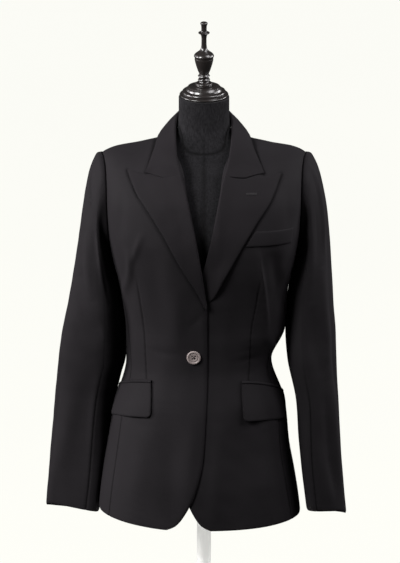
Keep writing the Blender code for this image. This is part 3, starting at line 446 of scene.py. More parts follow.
def ease(value, start, end):
    t = np.clip((value - start) / (end - start), 0, 1)
    return t * t * (3 - 2 * t)


def bell(distance, wide):
    return np.exp(-((distance / wide) ** 2))


def fading(distance, reach):
    return np.exp(-distance / reach)


def squared(turned, power):
    """A sine or a cosine, bent towards a squarer section."""
    return np.sign(turned) * np.abs(turned) ** power


def quarter_round(share):
    """Rises from 0 to 1 as a quarter of a circle does."""
    return np.sqrt(np.clip(1 - (1 - np.clip(share, 0, 1)) ** 2, 0, 1))


def run(points, axis=0):
    """Distances from the start of a line of points, or of each line of a grid."""
    steps = np.linalg.norm(np.diff(points, axis=axis), axis=-1)
    return np.cumsum(np.insert(steps, 0, 0, axis=axis), axis=axis)


def section(level, column):
    return cubic(np.arange(len(SECTIONS), dtype=float), SECTIONS[:, column], level)


def half_width(across, level):
    return np.where(across < 0, section(level, WIDE_RIGHT), section(level, WIDE_LEFT))


def rise_at(across):
    return smooth(SHOULDER, np.abs(across), 1) - SHOULDER[-1, 1]


def torso(angle, level):
    """A point of the blazer's outer face, before its creases. Heights are above the hem."""
    angle, level = np.broadcast_arrays(np.asarray(angle, float), np.asarray(level, float))
    turn = np.radians(angle)
    power = 2 / section(level, SQUARE)
    across = half_width(angle, level) * squared(np.sin(turn), power)
    front = np.abs(angle) < 90
    depth = np.where(front, -section(level, FRONT), section(level, BACK)) * np.abs(np.cos(turn)) ** power
    depth = depth + RIDGE_DEPTH * ease(level, UNDERARM, RIDGE)
    height = section(level, HEIGHT) + section(level, RISE) * rise_at(across)
    hem_rise = np.where(angle < 0, SIDE_HEM_RISE_RIGHT, SIDE_HEM_RISE_LEFT)
    height = height + hem_rise * np.sin(turn) ** 2 * (1 - ease(level, 0, 2))
    return np.stack([across, depth, height], axis=-1)


def outward(angle, level):
    """The unit normal of torso()."""
    small_turn, small_step = 0.4, 0.02
    above, below = np.minimum(level + small_step, RIDGE), np.maximum(level - small_step, 0)
    along = torso(angle + small_turn, level) - torso(angle - small_turn, level)
    up = torso(angle, above) - torso(angle, below)
    normal = np.cross(along, up)
    normal[..., 1] *= np.clip((RIDGE - level) / 0.35, 0, 1)
    return normal / np.linalg.norm(normal, axis=-1, keepdims=True)


def angle_of(across, level):
    share = np.clip(np.abs(across) / half_width(np.asarray(across), level), 0, 1)
    return np.sign(across) * np.degrees(np.arcsin(share ** (section(level, SQUARE) / 2)))


def level_of(across, height):
    """The level at which the surface passes this height, this far across."""
    low, high = np.zeros(np.shape(across)), np.full(np.shape(across), RIDGE)
    for _ in range(24):
        middle = (low + high) / 2
        under = section(middle, HEIGHT) + section(middle, RISE) * rise_at(across) < height
        low, high = np.where(under, middle, low), np.where(under, high, middle)
    return (low + high) / 2


def below_lapels(level):
    return 1 - ease(level, UNDERARM, UNDERARM + 2)


def lap_lift(side, across, level):
    """How far the right front stands off over the left one, and how far the left one gives way."""
    if side < 0:
        return OVERLAP_LIFT * ease(across, -0.115, -0.062) * below_lapels(level)
    return -UNDERLAP_DROP * (1 - ease(across, 0.012, 0.060)) * below_lapels(level)


def creases(place, table):
    """Soft troughs and ridges: how far each place, given on a plane, is moved out."""
    moved = np.zeros(place.shape[:-1])
    t = np.linspace(0, 1, 48)[:, None]
    for row in table:
        start, bend, end = np.array(row[:6]).reshape(3, 2)
        wide, tall = row[6:]
        path = start * (1 - t) ** 2 + 2 * bend * t * (1 - t) + end * t * t
        away = np.stack([np.hypot(place[..., 0] - x, place[..., 1] - y) for x, y in path])
        nearest = np.argmin(away, axis=0)
        fade = np.sin(np.pi * np.clip(nearest / (len(t) - 1), 0.02, 0.98)) ** 0.8
        moved += tall * fade * bell(np.min(away, axis=0), wide)
    return moved


def filled_in(places, points, count):
    """Many points on the straight lines between a few."""
    fine = np.linspace(places[0], places[-1], count)
    return np.stack([np.interp(fine, places, column) for column in points.T], axis=-1)


def away_from(place, line):
    """Each place's distance from a line of points on the same plane."""
    return np.min([np.hypot(place[..., 0] - x, place[..., 1] - y) for x, y in line], axis=0)


def waves(place, size, seed):
    """Slight unevenness of hanging cloth: a few long waves in fixed directions."""
    picked = np.random.default_rng(seed)
    total = np.zeros(place.shape[:-1])
    for _ in range(7):
        direction = picked.normal(size=2) * (1.0, 0.45)
        direction *= 2 * np.pi / (picked.uniform(0.030, 0.075) * np.linalg.norm(direction))
        total += np.sin(place @ direction + picked.uniform(0, 6.28))
    return size * total / 7


# ---------------------------------------------------------------- meshes
def placed(name, data):
    """A mesh, a light or a camera, put into the scene."""
    made = bpy.data.objects.new(name, data)
    bpy.context.scene.collection.objects.link(made)
    return made


def meshed(name, points, faces, finish):
    mesh = bpy.data.meshes.new(name)
    mesh.from_pydata(points, [], faces)
    mesh.shade_smooth()
    mesh.materials.append(finish)
    return placed(name, mesh)


def keep_painted_shade(piece, seam):
    """Keeps how much painted shade each point gets at seams and edges, 0 to 1, for the finish."""
    kept = piece.data.attributes.new("seam", "FLOAT", "POINT")
    kept.data.foreach_set("value", seam.astype(np.float32).ravel())


def cloth_shell(name, outer, inner, seam, finish):
    """A thin shell between two grids of points, with a rounded rim and the directions of its threads."""
    rows, columns = outer.shape[:2]
    right_way = [(i, columns - 1) for i in range(1, rows)]
    left_way = [(rows - 1, j) for j in range(columns - 2, -1, -1)]
    back_way = [(i, 0) for i in range(rows - 2, 0, -1)]
    rim_cells = [(0, j) for j in range(columns)] + right_way + left_way + back_way
    i, j = np.array(rim_cells).T
    k, m = np.clip(i, 1, rows - 2), np.clip(j, 1, columns - 2)
    away = outer[i, j] - outer[k, m]
    away /= np.maximum(np.linalg.norm(away, axis=-1, keepdims=True), 1e-9)
    wall = np.linalg.norm(outer[i, j] - inner[i, j], axis=-1, keepdims=True)
    rim = (outer[i, j] + inner[i, j]) / 2 + away * np.minimum(wall * 0.35, 0.0006)
    points = np.concatenate([outer.reshape(-1, 3), inner.reshape(-1, 3), rim])
    points[:, 2] += HEM

    grid = np.arange(rows * columns).reshape(rows, columns)
    a, b, c, d = grid[:-1, :-1], grid[:-1, 1:], grid[1:, 1:], grid[1:, :-1]
    face = np.stack([a, b, c, d], axis=-1).reshape(-1, 4)
    count = rows * columns
    edge = grid[i, j]
    after = np.roll(edge, -1)
    middle = 2 * count + np.arange(len(edge))
    middle_after = np.roll(middle, -1)
    upper = np.stack([edge, middle, middle_after, after], axis=-1)
    lower = np.stack([middle, edge + count, after + count, middle_after], axis=-1)
    quads = np.concatenate([face, face[:, ::-1] + count, upper, lower])

    centre = outer[rows // 2, columns // 2] - inner[rows // 2, columns // 2]
    first = outer[rows // 2, columns // 2 + 1] - outer[rows // 2, columns // 2]
    second = outer[rows // 2 + 1, columns // 2] - outer[rows // 2, columns // 2]
    if np.dot(np.cross(first, second), centre) < 0:
        quads = quads[:, ::-1]

    made = meshed(name, points, quads.tolist(), finish)
    mesh = made.data
    along = run(outer, 1)
    threads = np.stack([along - along.mean(), run(outer)], axis=-1)
    threads = np.concatenate([threads.reshape(-1, 2), threads.reshape(-1, 2), threads[i, j]])
    corner = np.empty(len(mesh.loops), int)
    mesh.loops.foreach_get("vertex_index", corner)
    mesh.uv_layers.new(name="threads").data.foreach_set("uv", threads[corner].astype(np.float32).ravel())
    keep_painted_shade(made, np.concatenate([seam.ravel(), seam.ravel(), seam[i, j]]))
    return made


def ring_mesh(name, loops, finish, seam=None):
    """A closed surface through loops of points, with flat ends."""
    loops = np.array(loops)
    count, around = loops.shape[:2]
    grid = np.arange(count * around).reshape(count, around)
    after = np.roll(grid, -1, axis=1)
    quads = np.stack([grid[:-1], after[:-1], after[1:], grid[1:]], axis=-1).reshape(-1, 4)
    faces = quads.tolist() + [grid[0, ::-1].tolist(), grid[-1].tolist()]
    made = meshed(name, loops.reshape(-1, 3), faces, finish)
    made.data.set_sharp_from_angle(angle=np.radians(50))
    if seam is not None:
        keep_painted_shade(made, seam)
    return made


def even_line(points, count):
    """A smooth line through points, at even shares of its length."""
    length = run(points)
    at = np.linspace(0, length[-1], count)
    return np.stack([cubic(length, points[:, k], at) for k in range(3)], axis=-1)


def even_levels(angle, start, end, count):
    """Levels at even distances up the surface, close together at both ends."""
    fine = np.linspace(start, end, 500)
    length = run(torso(np.full(500, angle), fine))
    return np.interp(crowded(length[-1], count), length, fine)


def crowded(length, count, edge=0.004, spare=5):
    """Places along a length, with a few close together at both ends."""
    close = edge * np.linspace(0, 1, spare, endpoint=False) ** 1.5
    middle = np.linspace(edge, length - edge, count - 2 * spare)
    return np.concatenate([close, middle, length - close[::-1]])


def columns_between(start, end, level, count, dense=None):
    """Angles along each row at even distances, crowded at the edges and at a dart.

    Also each one's distance from both edges.
    """
    share = np.linspace(0, 1, 160)
    fine = start[:, None] + (end - start)[:, None] * share
    along = run(torso(fine, np.broadcast_to(level[:, None], fine.shape)), 1)
    beside_dart = 0.006
    angle, place = [], []
    for row in range(len(level)):
        total = along[row, -1]
        wanted = crowded(total, count)
        if dense is not None:
            way = int(np.sign(end[row] - start[row]))
            centre = np.clip(np.interp(dense[row], fine[row][::way], along[row][::way]), 0.02, total - 0.02)
            before = np.linspace(0, centre - beside_dart, count // 2)
            beside = centre + beside_dart * np.linspace(-1, 1, 15)[1:-1]
            wanted = np.concatenate([before, beside, crowded_from(centre + beside_dart, total, count // 2)])
        angle.append(np.interp(wanted, along[row], fine[row]))
        place.append(wanted)
    place = np.array(place)
    return np.array(angle), place, place[:, -1:] - place


def crowded_from(start, end, count):
    middle = np.linspace(start, end - 0.004, count - 4)
    return np.concatenate([middle, end - 0.004 * np.array([0.66, 0.36, 0.14, 0])])


def seam_line(distance, depth=0.0009, wide=0.0022):
    """The dip of cloth at a pressed seam."""
    return -depth * bell(distance, wide)


# Painted shade: how dark a seam or an edge is made, standing in for the shadow in its groove or under it.
def painted_seam_shade(*distances):
    return np.max([bell(distance, 0.0016) for distance in distances], axis=0)


def puckers(distance, along, size=0.00022):
    """Slight ripples beside a line of stitches."""
    return size * fading(distance, 0.006) * np.sin(along * 2 * np.pi / 0.0135 + 2 * np.sin(along * 31))


def lay_out(name, angle, level, moved, seam, finish, wall=CLOTH):
    surface, normal = torso(angle, level), outward(angle, level)
    outer = surface + normal * moved[..., None]
    return cloth_shell(name, outer, outer - normal * wall, seam, finish), outer


def hanging_panel(name, angle, level, edges, plane, table, seed, finish):
    """A panel with its creases, a pressed seam along each of two edges and a turned hem."""
    points = torso(angle, level)
    place, height = points[..., plane], points[..., 2]
    moved = ease(np.minimum(*edges), 0, SEAM_EASE) * (creases(place, table) + waves(place, 0.0005, seed))
    for distance in edges:
        moved += seam_line(distance) + puckers(distance, height, 0.00016)
    moved += -0.0010 * fading(height - height[0], 0.0016)
    # painted shade along both seams
    return lay_out(name, angle, level, moved, painted_seam_shade(*edges), finish)


# ---------------------------------------------------------------- body panels
def armhole_angle(level, reach):
    share = np.clip((level - UNDERARM) / (RIDGE - UNDERARM), 0, 1)
    return reach * np.sin(np.pi * share) ** 0.6


def armhole_level(degrees, reach):
    share = np.arcsin(np.clip(degrees / reach, 0, 1) ** (1 / 0.6)) / np.pi
    return UNDERARM + share * (RIDGE - UNDERARM)


SEAM_TOP_FRONT = float(armhole_level(90 - FRONT_SEAM[1], ARMHOLE_FRONT))
SEAM_TOP_BACK = float(armhole_level(BACK_SEAM[1] - 90, ARMHOLE_BACK))


def seam_angle(level, ends, top):
    return ends[0] + (ends[1] - ends[0]) * ease(level, 2.0, top)


def outer_boundary(level, ends, seam_top, reach):
    hole = 90 - np.sign(90 - ends[1]) * armhole_angle(level, reach)
    return np.where(level < seam_top, seam_angle(level, ends, seam_top), hole)


def front_edge(level, side):
    """How far across a front's edge, then its roll line, then its neckline lies."""
    height = section(level, HEIGHT)
    lap = smooth(TOP_EDGE, height, 1)
    if side > 0:
        lap = 2 * smooth(CENTRE_FRONT, height, 1) - lap
    roll = smooth(ROLL, height, 1 if side < 0 else 2)
    gorge = float(level_of(np.array(side * 0.036), 0.643))
    neck = roll + (side * NECK_POINT - roll) * ease(level, gorge - 0.2, RIDGE) ** 1.2
    return np.where(height < BREAK, lap, neck)


def dart_at(side, height):
    return smooth(DART, height, 1 if side < 0 else 2)


def front_cloth(side, finish):
    level = even_levels(side * 30.0, 0, RIDGE - 0.012, 230)
    tucked = ease(section(level, HEIGHT), BREAK, BREAK + 0.03) * ease(level, RIDGE, RIDGE - 1.5)
    inner = angle_of(front_edge(level, side) + side * UNDER_ROLL * tucked, level)
    outer = side * outer_boundary(level, FRONT_SEAM, SEAM_TOP_FRONT, ARMHOLE_FRONT)
    dense = angle_of(dart_at(side, section(level, HEIGHT)), level)
    angle, from_edge, from_seam = columns_between(inner, outer, level, 64, dense)
    grid = np.repeat(level[:, None], angle.shape[1], axis=1)
    points = torso(angle, grid)
    place = points[..., [0, 2]]
    height = points[..., 2]
    foot, head = DART_REACH
    in_dart = ease(height, head, head - 0.05) * ease(height, foot - 0.01, foot)
    from_dart = np.abs(points[..., 0] - dart_at(side, height))
    free = ease(from_seam, 0, SEAM_EASE)
    moved = lap_lift(side, points[..., 0], grid)
    moved += free * (creases(place, FRONT_CREASES[side]) + waves(place, 0.0005, 5 + side))
    moved += in_dart * (seam_line(from_dart, 0.0012, 0.0018) + puckers(from_dart, height))
    moved += -0.0014 * fading(from_edge, 0.0016)
    moved += seam_line(from_seam - SEAM_GAP) + puckers(from_seam, height, 0.00016)
    moved += -0.0010 * fading(height - height[0], 0.0016)
    from_lapel = away_from(place, filled_in(LAPEL_EDGE[side][:, 0], LAPEL_EDGE[side][:, 1:], 120))
    moved += -0.0012 * bell(from_lapel, 0.0026) * ease(height, BREAK - 0.01, BREAK + 0.02)
    collar_line = np.array([COLLAR_TIP[side], *(COLLAR[:2, [3, 5]] * (side, 1))])
    from_collar = away_from(place, filled_in(np.arange(3), collar_line, 80))
    moved += -0.0010 * bell(from_collar, 0.0026)
    # Painted shade along the side seam and the dart, and painted shadows on the front beside the lapel's and
    # the collar's edges.
    painted_side_seam_shade = painted_seam_shade(from_seam) * (1 - 0.45 * ease(height, 0.45, 0.50))
    seam = np.maximum(painted_side_seam_shade, 0.6 * in_dart * painted_seam_shade(from_dart))
    seam = np.maximum(seam, bell(from_lapel, 0.0030))
    seam = np.maximum(seam, 0.9 * bell(from_collar, 0.0028))
    return lay_out(f"{WORD[side]}_front", angle, grid, moved, seam, finish)


def side_cloth(side, finish):
    share = crowded(1.0, 34, 0.03)
    top_angle = FRONT_SEAM[1] + (BACK_SEAM[1] - FRONT_SEAM[1]) * share
    top = np.where(
        top_angle < 90,
        armhole_level(90 - top_angle, ARMHOLE_FRONT),
        armhole_level(top_angle - 90, ARMHOLE_BACK),
    )
    level = crowded(1.0, 150, 0.008)[:, None] * top
    front = seam_angle(level, FRONT_SEAM, SEAM_TOP_FRONT)
    back = seam_angle(level, BACK_SEAM, SEAM_TOP_BACK)
    angle = side * (front + (back - front) * share)
    points = torso(angle, level)
    wide = np.linalg.norm(points[:, -1] - points[:, 0], axis=-1)[:, None] * 1.05
    edges = (wide * share, wide * (1 - share))
    return hanging_panel(f"{WORD[side]}_side_panel", angle, level, edges, [1, 2], SIDE_CREASES, 9, finish)


def back_cloth(side, finish):
    level = even_levels(side * 150.0, 0, RIDGE - 0.012, 220)
    neck_level = RIDGE - 1.35
    bare = np.clip((level - neck_level) / (RIDGE - neck_level), 0, 1)
    neckline = NECK_POINT * np.sqrt(1 - (1 - bare) ** 2)
    inner = side * (180 - np.abs(angle_of(np.maximum(neckline, SEAM_GAP / 2), level)))
    outer = side * outer_boundary(level, BACK_SEAM, SEAM_TOP_BACK, ARMHOLE_BACK)
    angle, from_centre, from_seam = columns_between(inner, outer, level, 66)
    grid = np.repeat(level[:, None], angle.shape[1], axis=1)
    edges = (from_centre, from_seam)
    table = BACK_CREASES[side]
    return hanging_panel(f"{WORD[side]}_back", angle, grid, edges, [0, 2], table, 15 + side, finish)


def on_front(name, side, across, height, moved, seam, finish, wall):
    level = level_of(across, height)
    moved = moved + lap_lift(side, across, level)
    return lay_out(name, angle_of(across, level), level, moved, seam, finish, wall)


def lapel_grid(side, up, over):
    """Across and height of a lapel's points: up from the break, over from the roll line."""
    edge, gorge = LAPEL_EDGE[side], GORGE[side]
    roll_height = BREAK - 0.004 + (gorge[0, 1] - BREAK + 0.004) * up
    roll_across = smooth(ROLL, roll_height, 1 if side < 0 else 2)
    across = roll_across[:, None] + (smooth(edge, up, 1) - roll_across)[:, None] * over
    height = roll_height[:, None] + (smooth(edge, up, 2) - roll_height)[:, None] * over
    place = np.interp(over, np.linspace(0, 1, len(gorge)), np.arange(len(gorge)))
    top_across = np.interp(place, np.arange(len(gorge)), gorge[:, 0])
    top_height = np.interp(place, np.arange(len(gorge)), gorge[:, 1])
    bend = ease(up, 0.6, 1.0)[:, None]
    return across + bend * (top_across - across[-1]), height + bend * (top_height - height[-1])


def lapel_cloth(side, finish):
    """A lapel turned back along the roll line, rounded there and springy over the chest."""
    up = crowded(1.0, 130, 0.012)
    over = np.concatenate([np.linspace(0, 1, 9, endpoint=False) ** 1.6 * 0.10, crowded_from(0.10, 1.0, 50)])
    across, height = lapel_grid(side, up, over)
    wide = np.hypot(across[:, -1] - across[:, 0], height[:, -1] - height[:, 0])[:, None]
    from_roll, from_edge = wide * over, wide * (1 - over)
    from_top = ((1 - up) * 0.24)[:, None] + 0 * over
    round_over = quarter_round(from_roll / LAPEL_ROLL)
    spring = 0.0022 * ease(from_roll, 0.030, 0.0) * ease(wide, 0.0, 0.05)
    moved = (LAPEL_LIFT + spring) * round_over - 0.0012 * (1 - round_over)
    moved += 0.0008 * ease(from_edge, 0.03, 0.0)
    moved += -0.0012 * fading(from_edge, 0.0012) - 0.0005 * fading(from_top, 0.0008) * ease(over, 0.4, 0.6)
    place = np.stack([across, height], axis=-1)
    moved += waves(place, 0.0004, 21 + side) * ease(from_edge, 0, 0.01)
    if side > 0:
        seen = ease(across, 0.004, 0.030)
        moved = moved * seen + 0.0008 * (1 - seen)
        moved += 0.0040 * seen * bell(up - 0.24, 0.11)[:, None] * ease(from_edge, 0.035, 0.004)
    # painted shade along the lapel's edge
    seam = bell(from_edge, 0.0013)
    return on_front(f"{WORD[side]}_lapel", side, across, height, moved, seam, finish, LAPEL_CLOTH)


def band_angles(side, along, height):
    """Angles of the points that lie these lengths round the body from a pocket's front end."""
    angle = np.empty(height.shape)
    start = np.array(FLAP_FRONT[side])
    for row in range(len(height)):
        level = level_of(start, height[row].mean())
        fine = np.linspace(angle_of(start, level), side * 135.0, 400)
        angle[row] = np.interp(along, run(torso(fine, np.full(400, level))), fine)
    return angle, level_of(np.zeros(height.shape), height)


def pocket_piece(name, side, along, height, from_edge, extra, finish):
    angle, level = band_angles(side, along, height)
    across = torso(angle, level)[..., 0]
    moved = POCKET_LIFT + extra + lap_lift(side, across, level) - 0.0011 * fading(from_edge, 0.0012)
    moved -= 0.0014 * ease(along / FLAP_LENGTH, 0.25, 0.55)
    # painted shade along the edges of the flap or jet
    return lay_out(name, angle, level, moved, 0.5 * painted_seam_shade(from_edge), finish, POCKET_CLOTH)


def pocket_top(side, along):
    return FLAP_TOP - (FLAP_DROP[side] + FLAP_TAPER[side]) * (along / FLAP_LENGTH) ** 1.5


def flap_cloth(side, finish):
    """A pocket flap, rounded at its lower corners, standing off a little at the bottom."""
    along = crowded(FLAP_LENGTH, 70, 0.010, 9)
    down = crowded(1.0, 40, 0.06)[:, None]
    near_end = np.minimum(along, FLAP_LENGTH - along)
    round_off = FLAP_ROUND * (1 - quarter_round(near_end / FLAP_ROUND))
    length = FLAP_DEPTH[side] - round_off - FLAP_TAPER[side] * (along / FLAP_LENGTH) ** 1.5
    height = pocket_top(side, along) - JET_DEPTH - FLAP_GAP - length * down
    from_edge = np.minimum(near_end + 0 * down, length * (1 - down))
    sag = 0.0012 * np.sin(along / FLAP_LENGTH * 9 + side) * down
    return pocket_piece(f"{WORD[side]}_flap", side, along, height, from_edge, 0.0012 * down**2 + sag, finish)


def jet_cloth(side, finish):
    along = crowded(FLAP_LENGTH, 60, 0.004)
    down = np.linspace(0, 1, 12)[:, None]
    height = pocket_top(side, along) - JET_DEPTH * down
    from_edge = JET_DEPTH * np.minimum(down, 1 - down) + 0 * along
    extra = -0.0004 + 0.0009 * np.sin(np.pi * down) + 0 * along
    return pocket_piece(f"{WORD[side]}_jet", side, along, height, from_edge, extra, finish)


def welt_cloth(finish):
    along, up = crowded(1.0, 60, 0.03)[:, None], crowded(1.0, 26, 0.08)[:, None, None]
    top, foot = (np.array(ends[0]) + (np.array(ends[1]) - ends[0]) * along for ends in (WELT_TOP, WELT_FOOT))
    place = foot + (top - foot) * up
    across, height = place[..., 0], place[..., 1]
    from_end = WELT_LENGTH * (1 - along[:, 0])
    from_top = WELT_DEPTH * np.minimum(up[..., 0], 1 - up[..., 0])
    from_edge = np.minimum(from_end, from_top + 0 * across)
    moved = WELT_LIFT - 0.0009 * fading(from_edge, 0.0011)
    # painted shade along the welt's edges
    painted_edge_shade = painted_seam_shade(from_edge) * 0.2
    return on_front("breast_pocket_welt", 1, across, height, moved, painted_edge_shade, finish, WELT_CLOTH)


# ---------------------------------------------------------------- collar
def seen_point(side, across, height, extra):
    across = np.array(across)
    level = level_of(across, height)
    angle = angle_of(across, level)
    lift = np.asarray(lap_lift(side, across, level) + extra)
    return torso(angle, level) + outward(angle, level) * lift[..., None]


def grid_normals(grid):
    normal = np.cross(np.gradient(grid, axis=0), np.gradient(grid, axis=1))
    normal /= np.maximum(np.linalg.norm(normal, axis=-1, keepdims=True), 1e-12)
    middle = normal[normal.shape[0] // 2, normal.shape[1] // 2]
    return normal * np.sign(middle[1] + middle[2])


def collar_lines():
    """The fold and the outer edge of the collar, from its right front end to its left one."""
    fold, edge = both_sides(COLLAR[:, :3]), both_sides(COLLAR[:, 3:])
    ends = {}
    for side in (-1, 1):
        gorge, tip = GORGE[side], COLLAR_TIP[side]
        start = seen_point(side, gorge[0, 0] + side * 0.0003, gorge[0, 1] + 0.0004, 0.0040)
        middle = seen_point(side, gorge[0, 0] + side * 0.0088, 0.668, 0.0050)
        ends[side] = (start, middle, seen_point(side, tip[0], tip[1] + 0.0008, 0.0042))
    fold = np.concatenate([ends[-1][:2], fold, ends[1][1::-1]])
    edge = np.concatenate([[ends[-1][2]], edge, [ends[1][2]]])
    return fold, edge


def fall_cloth(finish):
    """The turned-down collar: round over its fold, lying on the shoulders, pressed thin at the edge."""
    count = 220
    fold, edge = (even_line(line, count) for line in collar_lines())
    near_fold = np.linspace(0, 0.12, 6, endpoint=False)
    share = np.concatenate([near_fold, crowded_from(0.12, 1.0, 34)])[:, None, None]
    grid = fold + (edge - fold) * share
    sides = np.abs(np.linspace(-1, 1, count))
    belly = 0.0020 * np.sin(np.pi * share) * ease(sides, 1.0, 0.75)[:, None]
    grid = grid + grid_normals(grid) * belly
    dip = 0.0048 * np.interp(share[..., 0], (0, 0.57, 1), (0, 1, 0)) * ease(sides, 0.86, 1.0)
    dip = dip + GORGE_TUCK * ease(share[..., 0], 0.62, 0.50) * ease(sides, 0.975, 1.0)
    grid[..., 2] -= dip
    for side in (-1, 1):
        across, depth, height = grid[..., 0], grid[..., 1], grid[..., 2]
        lying = (np.sign(across) == side) & (depth < -0.004) & (height < SHOULDER[-1, 1] + rise_at(across))
        on_chest = seen_point(side, across, height, COLLAR_LIFT)
        grid[..., 1] = np.where(lying, np.minimum(depth, on_chest[..., 1]), depth)
    from_edge = np.linalg.norm(edge - fold, axis=-1) * (1 - share[..., 0])
    turned = quarter_round(run(grid) / COLLAR_ROLL)
    normal = grid_normals(grid)
    grid = grid + normal * (-0.0028 * (1 - turned) - 0.0010 * fading(from_edge, 0.0012))[..., None]
    # painted shade along the collar's outer edge
    seam = 0.4 * painted_seam_shade(from_edge)
    inner = grid - normal * (COLLAR_CLOTH * (0.4 + 0.6 * turned))[..., None]
    return cloth_shell("collar_top", grid, inner, seam, finish), grid


def both_sides(half):
    """A line round the neck, from its right front end to its left one, from its left half."""
    return np.concatenate([half * (-1, 1, 1), half[-2::-1]])


def stand_cloth(finish):
    """The collar band, upright round the neck inside the turned-down collar."""
    low = both_sides(BAND_FOOT)
    fold = both_sides(np.concatenate([BAND_FRONT, COLLAR[1:, :3]]))
    inward = np.array([0.0, 0.012, 0.0]) - fold
    inward[:, 2] = 0
    inward /= np.linalg.norm(inward, axis=-1, keepdims=True)
    top = fold + inward * (COLLAR_CLOTH + SEAM_GAP + 0.0004) - (0, 0, 0.0022)
    low, top = even_line(low + inward * 0.0012, 120), even_line(top, 120)
    share = np.linspace(0, 1, 16)[:, None, None]
    grid = top + (low - top) * share
    # painted shade, darker towards the band's foot
    seam = 0.6 * painted_seam_shade(0.045 * (1 - share[..., 0]) + 0 * grid[..., 0])
    return cloth_shell("collar_band", grid, grid - grid_normals(grid) * BAND_CLOTH, seam, finish), grid


# ---------------------------------------------------------------- sleeves
def armhole_point(turn):
    share = np.arccos(-np.cos(np.radians(turn))) / np.pi
    level = UNDERARM + share * (RIDGE - UNDERARM)
    front = np.sin(np.radians(turn)) >= 0
    angle = np.where(front, 90 - armhole_angle(level, ARMHOLE_FRONT), 90 + armhole_angle(level, ARMHOLE_BACK))
    return angle, level


def sleeve_surface(side, turn, rows):
    """Points of a sleeve before its creases.

    turn is in degrees round it; rows go from 0 to 1 down the cap and from 1 to 2 below it.
    """
    table = SLEEVE[side]
    angle, level = armhole_point(turn)
    seam = torso(side * angle, level) + np.array([side * SLEEVE_GAP, 0, 0])
    radians = np.radians(turn)

    def ring(height):
        flat = 0.82 - 0.27 * ease(height, 0.24, 0.03)
        wide, deep = squared(np.cos(radians), flat), squared(np.sin(radians), flat)
        outer, inner = smooth(table, height, 1), smooth(table, height, 2)
        across = side * ((outer + inner) / 2 + (outer - inner) / 2 * wide)
        depth = smooth(table, height, 3) - smooth(table, height, 4) * deep
        depth = depth + SLEEVE_TURN * ease(height, *SLEEVE_TURN_REACH) * np.clip(-wide, 0, 1) ** 3
        depth = depth + SLEEVE_FACE * wide * np.clip(deep, 0, 1)
        off_level = CUFF_SLANT[side] * wide + CUFF_TILT * smooth(table, height, 4) * deep
        return np.stack([across, depth, height + off_level * ease(height, 0.20, 0.01)], axis=-1)

    bicep, cuff = table[0, 0], table[-1, 0]
    first, step = ring(bicep), 0.01
    slope = (ring(bicep - step) - first) / step
    reach = np.linalg.norm(first - seam, axis=-1)[:, None]
    cap = (1 + np.cos(radians))[:, None] / 2
    leave = np.stack([side * np.ones(len(turn)), -0.35 * np.sin(radians), -0.9 + 1.0 * cap[:, 0]], axis=-1)
    leave = leave / np.linalg.norm(leave, axis=-1, keepdims=True) * reach * (0.75 - 0.35 * cap)
    arrive = slope * reach * (1.0 + 0.35 * cap)
    points = []
    for row in rows:
        if row <= 1:
            points.append(
                seam * (1 + 2 * row) * (1 - row) ** 2 + leave * row * (1 - row) ** 2
                + first * row * row * (3 - 2 * row) + arrive * row * row * (row - 1)
            )
        else:
            points.append(ring(bicep + (cuff - bicep) * (row - 1)))
    return np.stack(points)


def sleeve_cloth(name, side, start, end, columns, finish):
    near_cuff = [1.99, 1.994, 1.997, 2.0]
    rows = np.concatenate([crowded(1.0, 80, 0.06)[:-1], np.linspace(1, 1.985, 130), near_cuff])
    share = crowded(1.0, columns, 0.05)
    turn = start + (end - start) * share
    surface = sleeve_surface(side, turn, rows)
    round_it = sleeve_surface(side, turn + 0.5, rows) - sleeve_surface(side, turn - 0.5, rows)
    normal = np.cross(np.gradient(surface, axis=0), round_it)
    normal /= np.maximum(np.linalg.norm(normal, axis=-1, keepdims=True), 1e-12)
    last = SLEEVE[side][-1]
    centre = np.array([side * (last[1] + last[2]) / 2, last[3], last[0]])
    middle = columns // 2
    normal *= np.sign(np.dot(normal[-1, middle], surface[-1, middle] - centre))
    wide = run(surface, 1)[:, -1:]
    from_fore, from_hind = wide * (1 - share), wide * share
    down = run(surface)
    around = np.broadcast_to(turn * METRES_ROUND, surface.shape[:2])
    place = np.stack([around, surface[..., 2]], axis=-1)
    folds = np.array(SLEEVE_CREASES[side]) * (METRES_ROUND, 1, METRES_ROUND, 1, METRES_ROUND, 1, 1, 1)
    free = ease(np.minimum(from_fore, from_hind), 0, 0.014) * ease(down, 0.0, 0.030)
    moved = free * (creases(place, folds) + waves(place, 0.0007, 40 + side))
    plain = 1 - 0.85 * ease(surface[..., 2], 0.20, 0.30)
    for distance in (from_fore, from_hind):
        ridge = seam_line(distance, 0.0008) + puckers(distance, surface[..., 2], 0.0002)
        moved += ridge * ease(down, 0, 0.01) * plain
    cap = np.clip(np.cos(np.radians(turn)), 0, 1) ** 0.5
    moved += 0.0016 * cap * bell(down - 0.007, 0.0065)
    moved += cap * puckers(down, around, 0.00030)
    moved += seam_line(down, 0.0004, 0.0012)
    moved += -0.0012 * fading(surface[..., 2] - surface[-1, :, 2], 0.0018)
    outer = surface + normal * moved[..., None]
    # painted shade along the sleeve seams, and at half strength round the armhole
    seam = np.maximum(painted_seam_shade(from_fore, from_hind) * plain, 0.5 * painted_seam_shade(down))
    return cloth_shell(name, outer, outer - normal * CLOTH, seam, finish), outer


# ---------------------------------------------------------------- button and buttonhole
def button_place():
    """The middle of the button's back and the way it faces, from its place in the frame."""
    middle = (BUTTON_LOW + BUTTON_HIGH) / 2
    across, height = middle[0], middle[2] - HEM
    level = level_of(np.array(across), height)
    facing = outward(angle_of(np.array(across), level), level)
    return middle - facing * BUTTON_SETTLED, facing


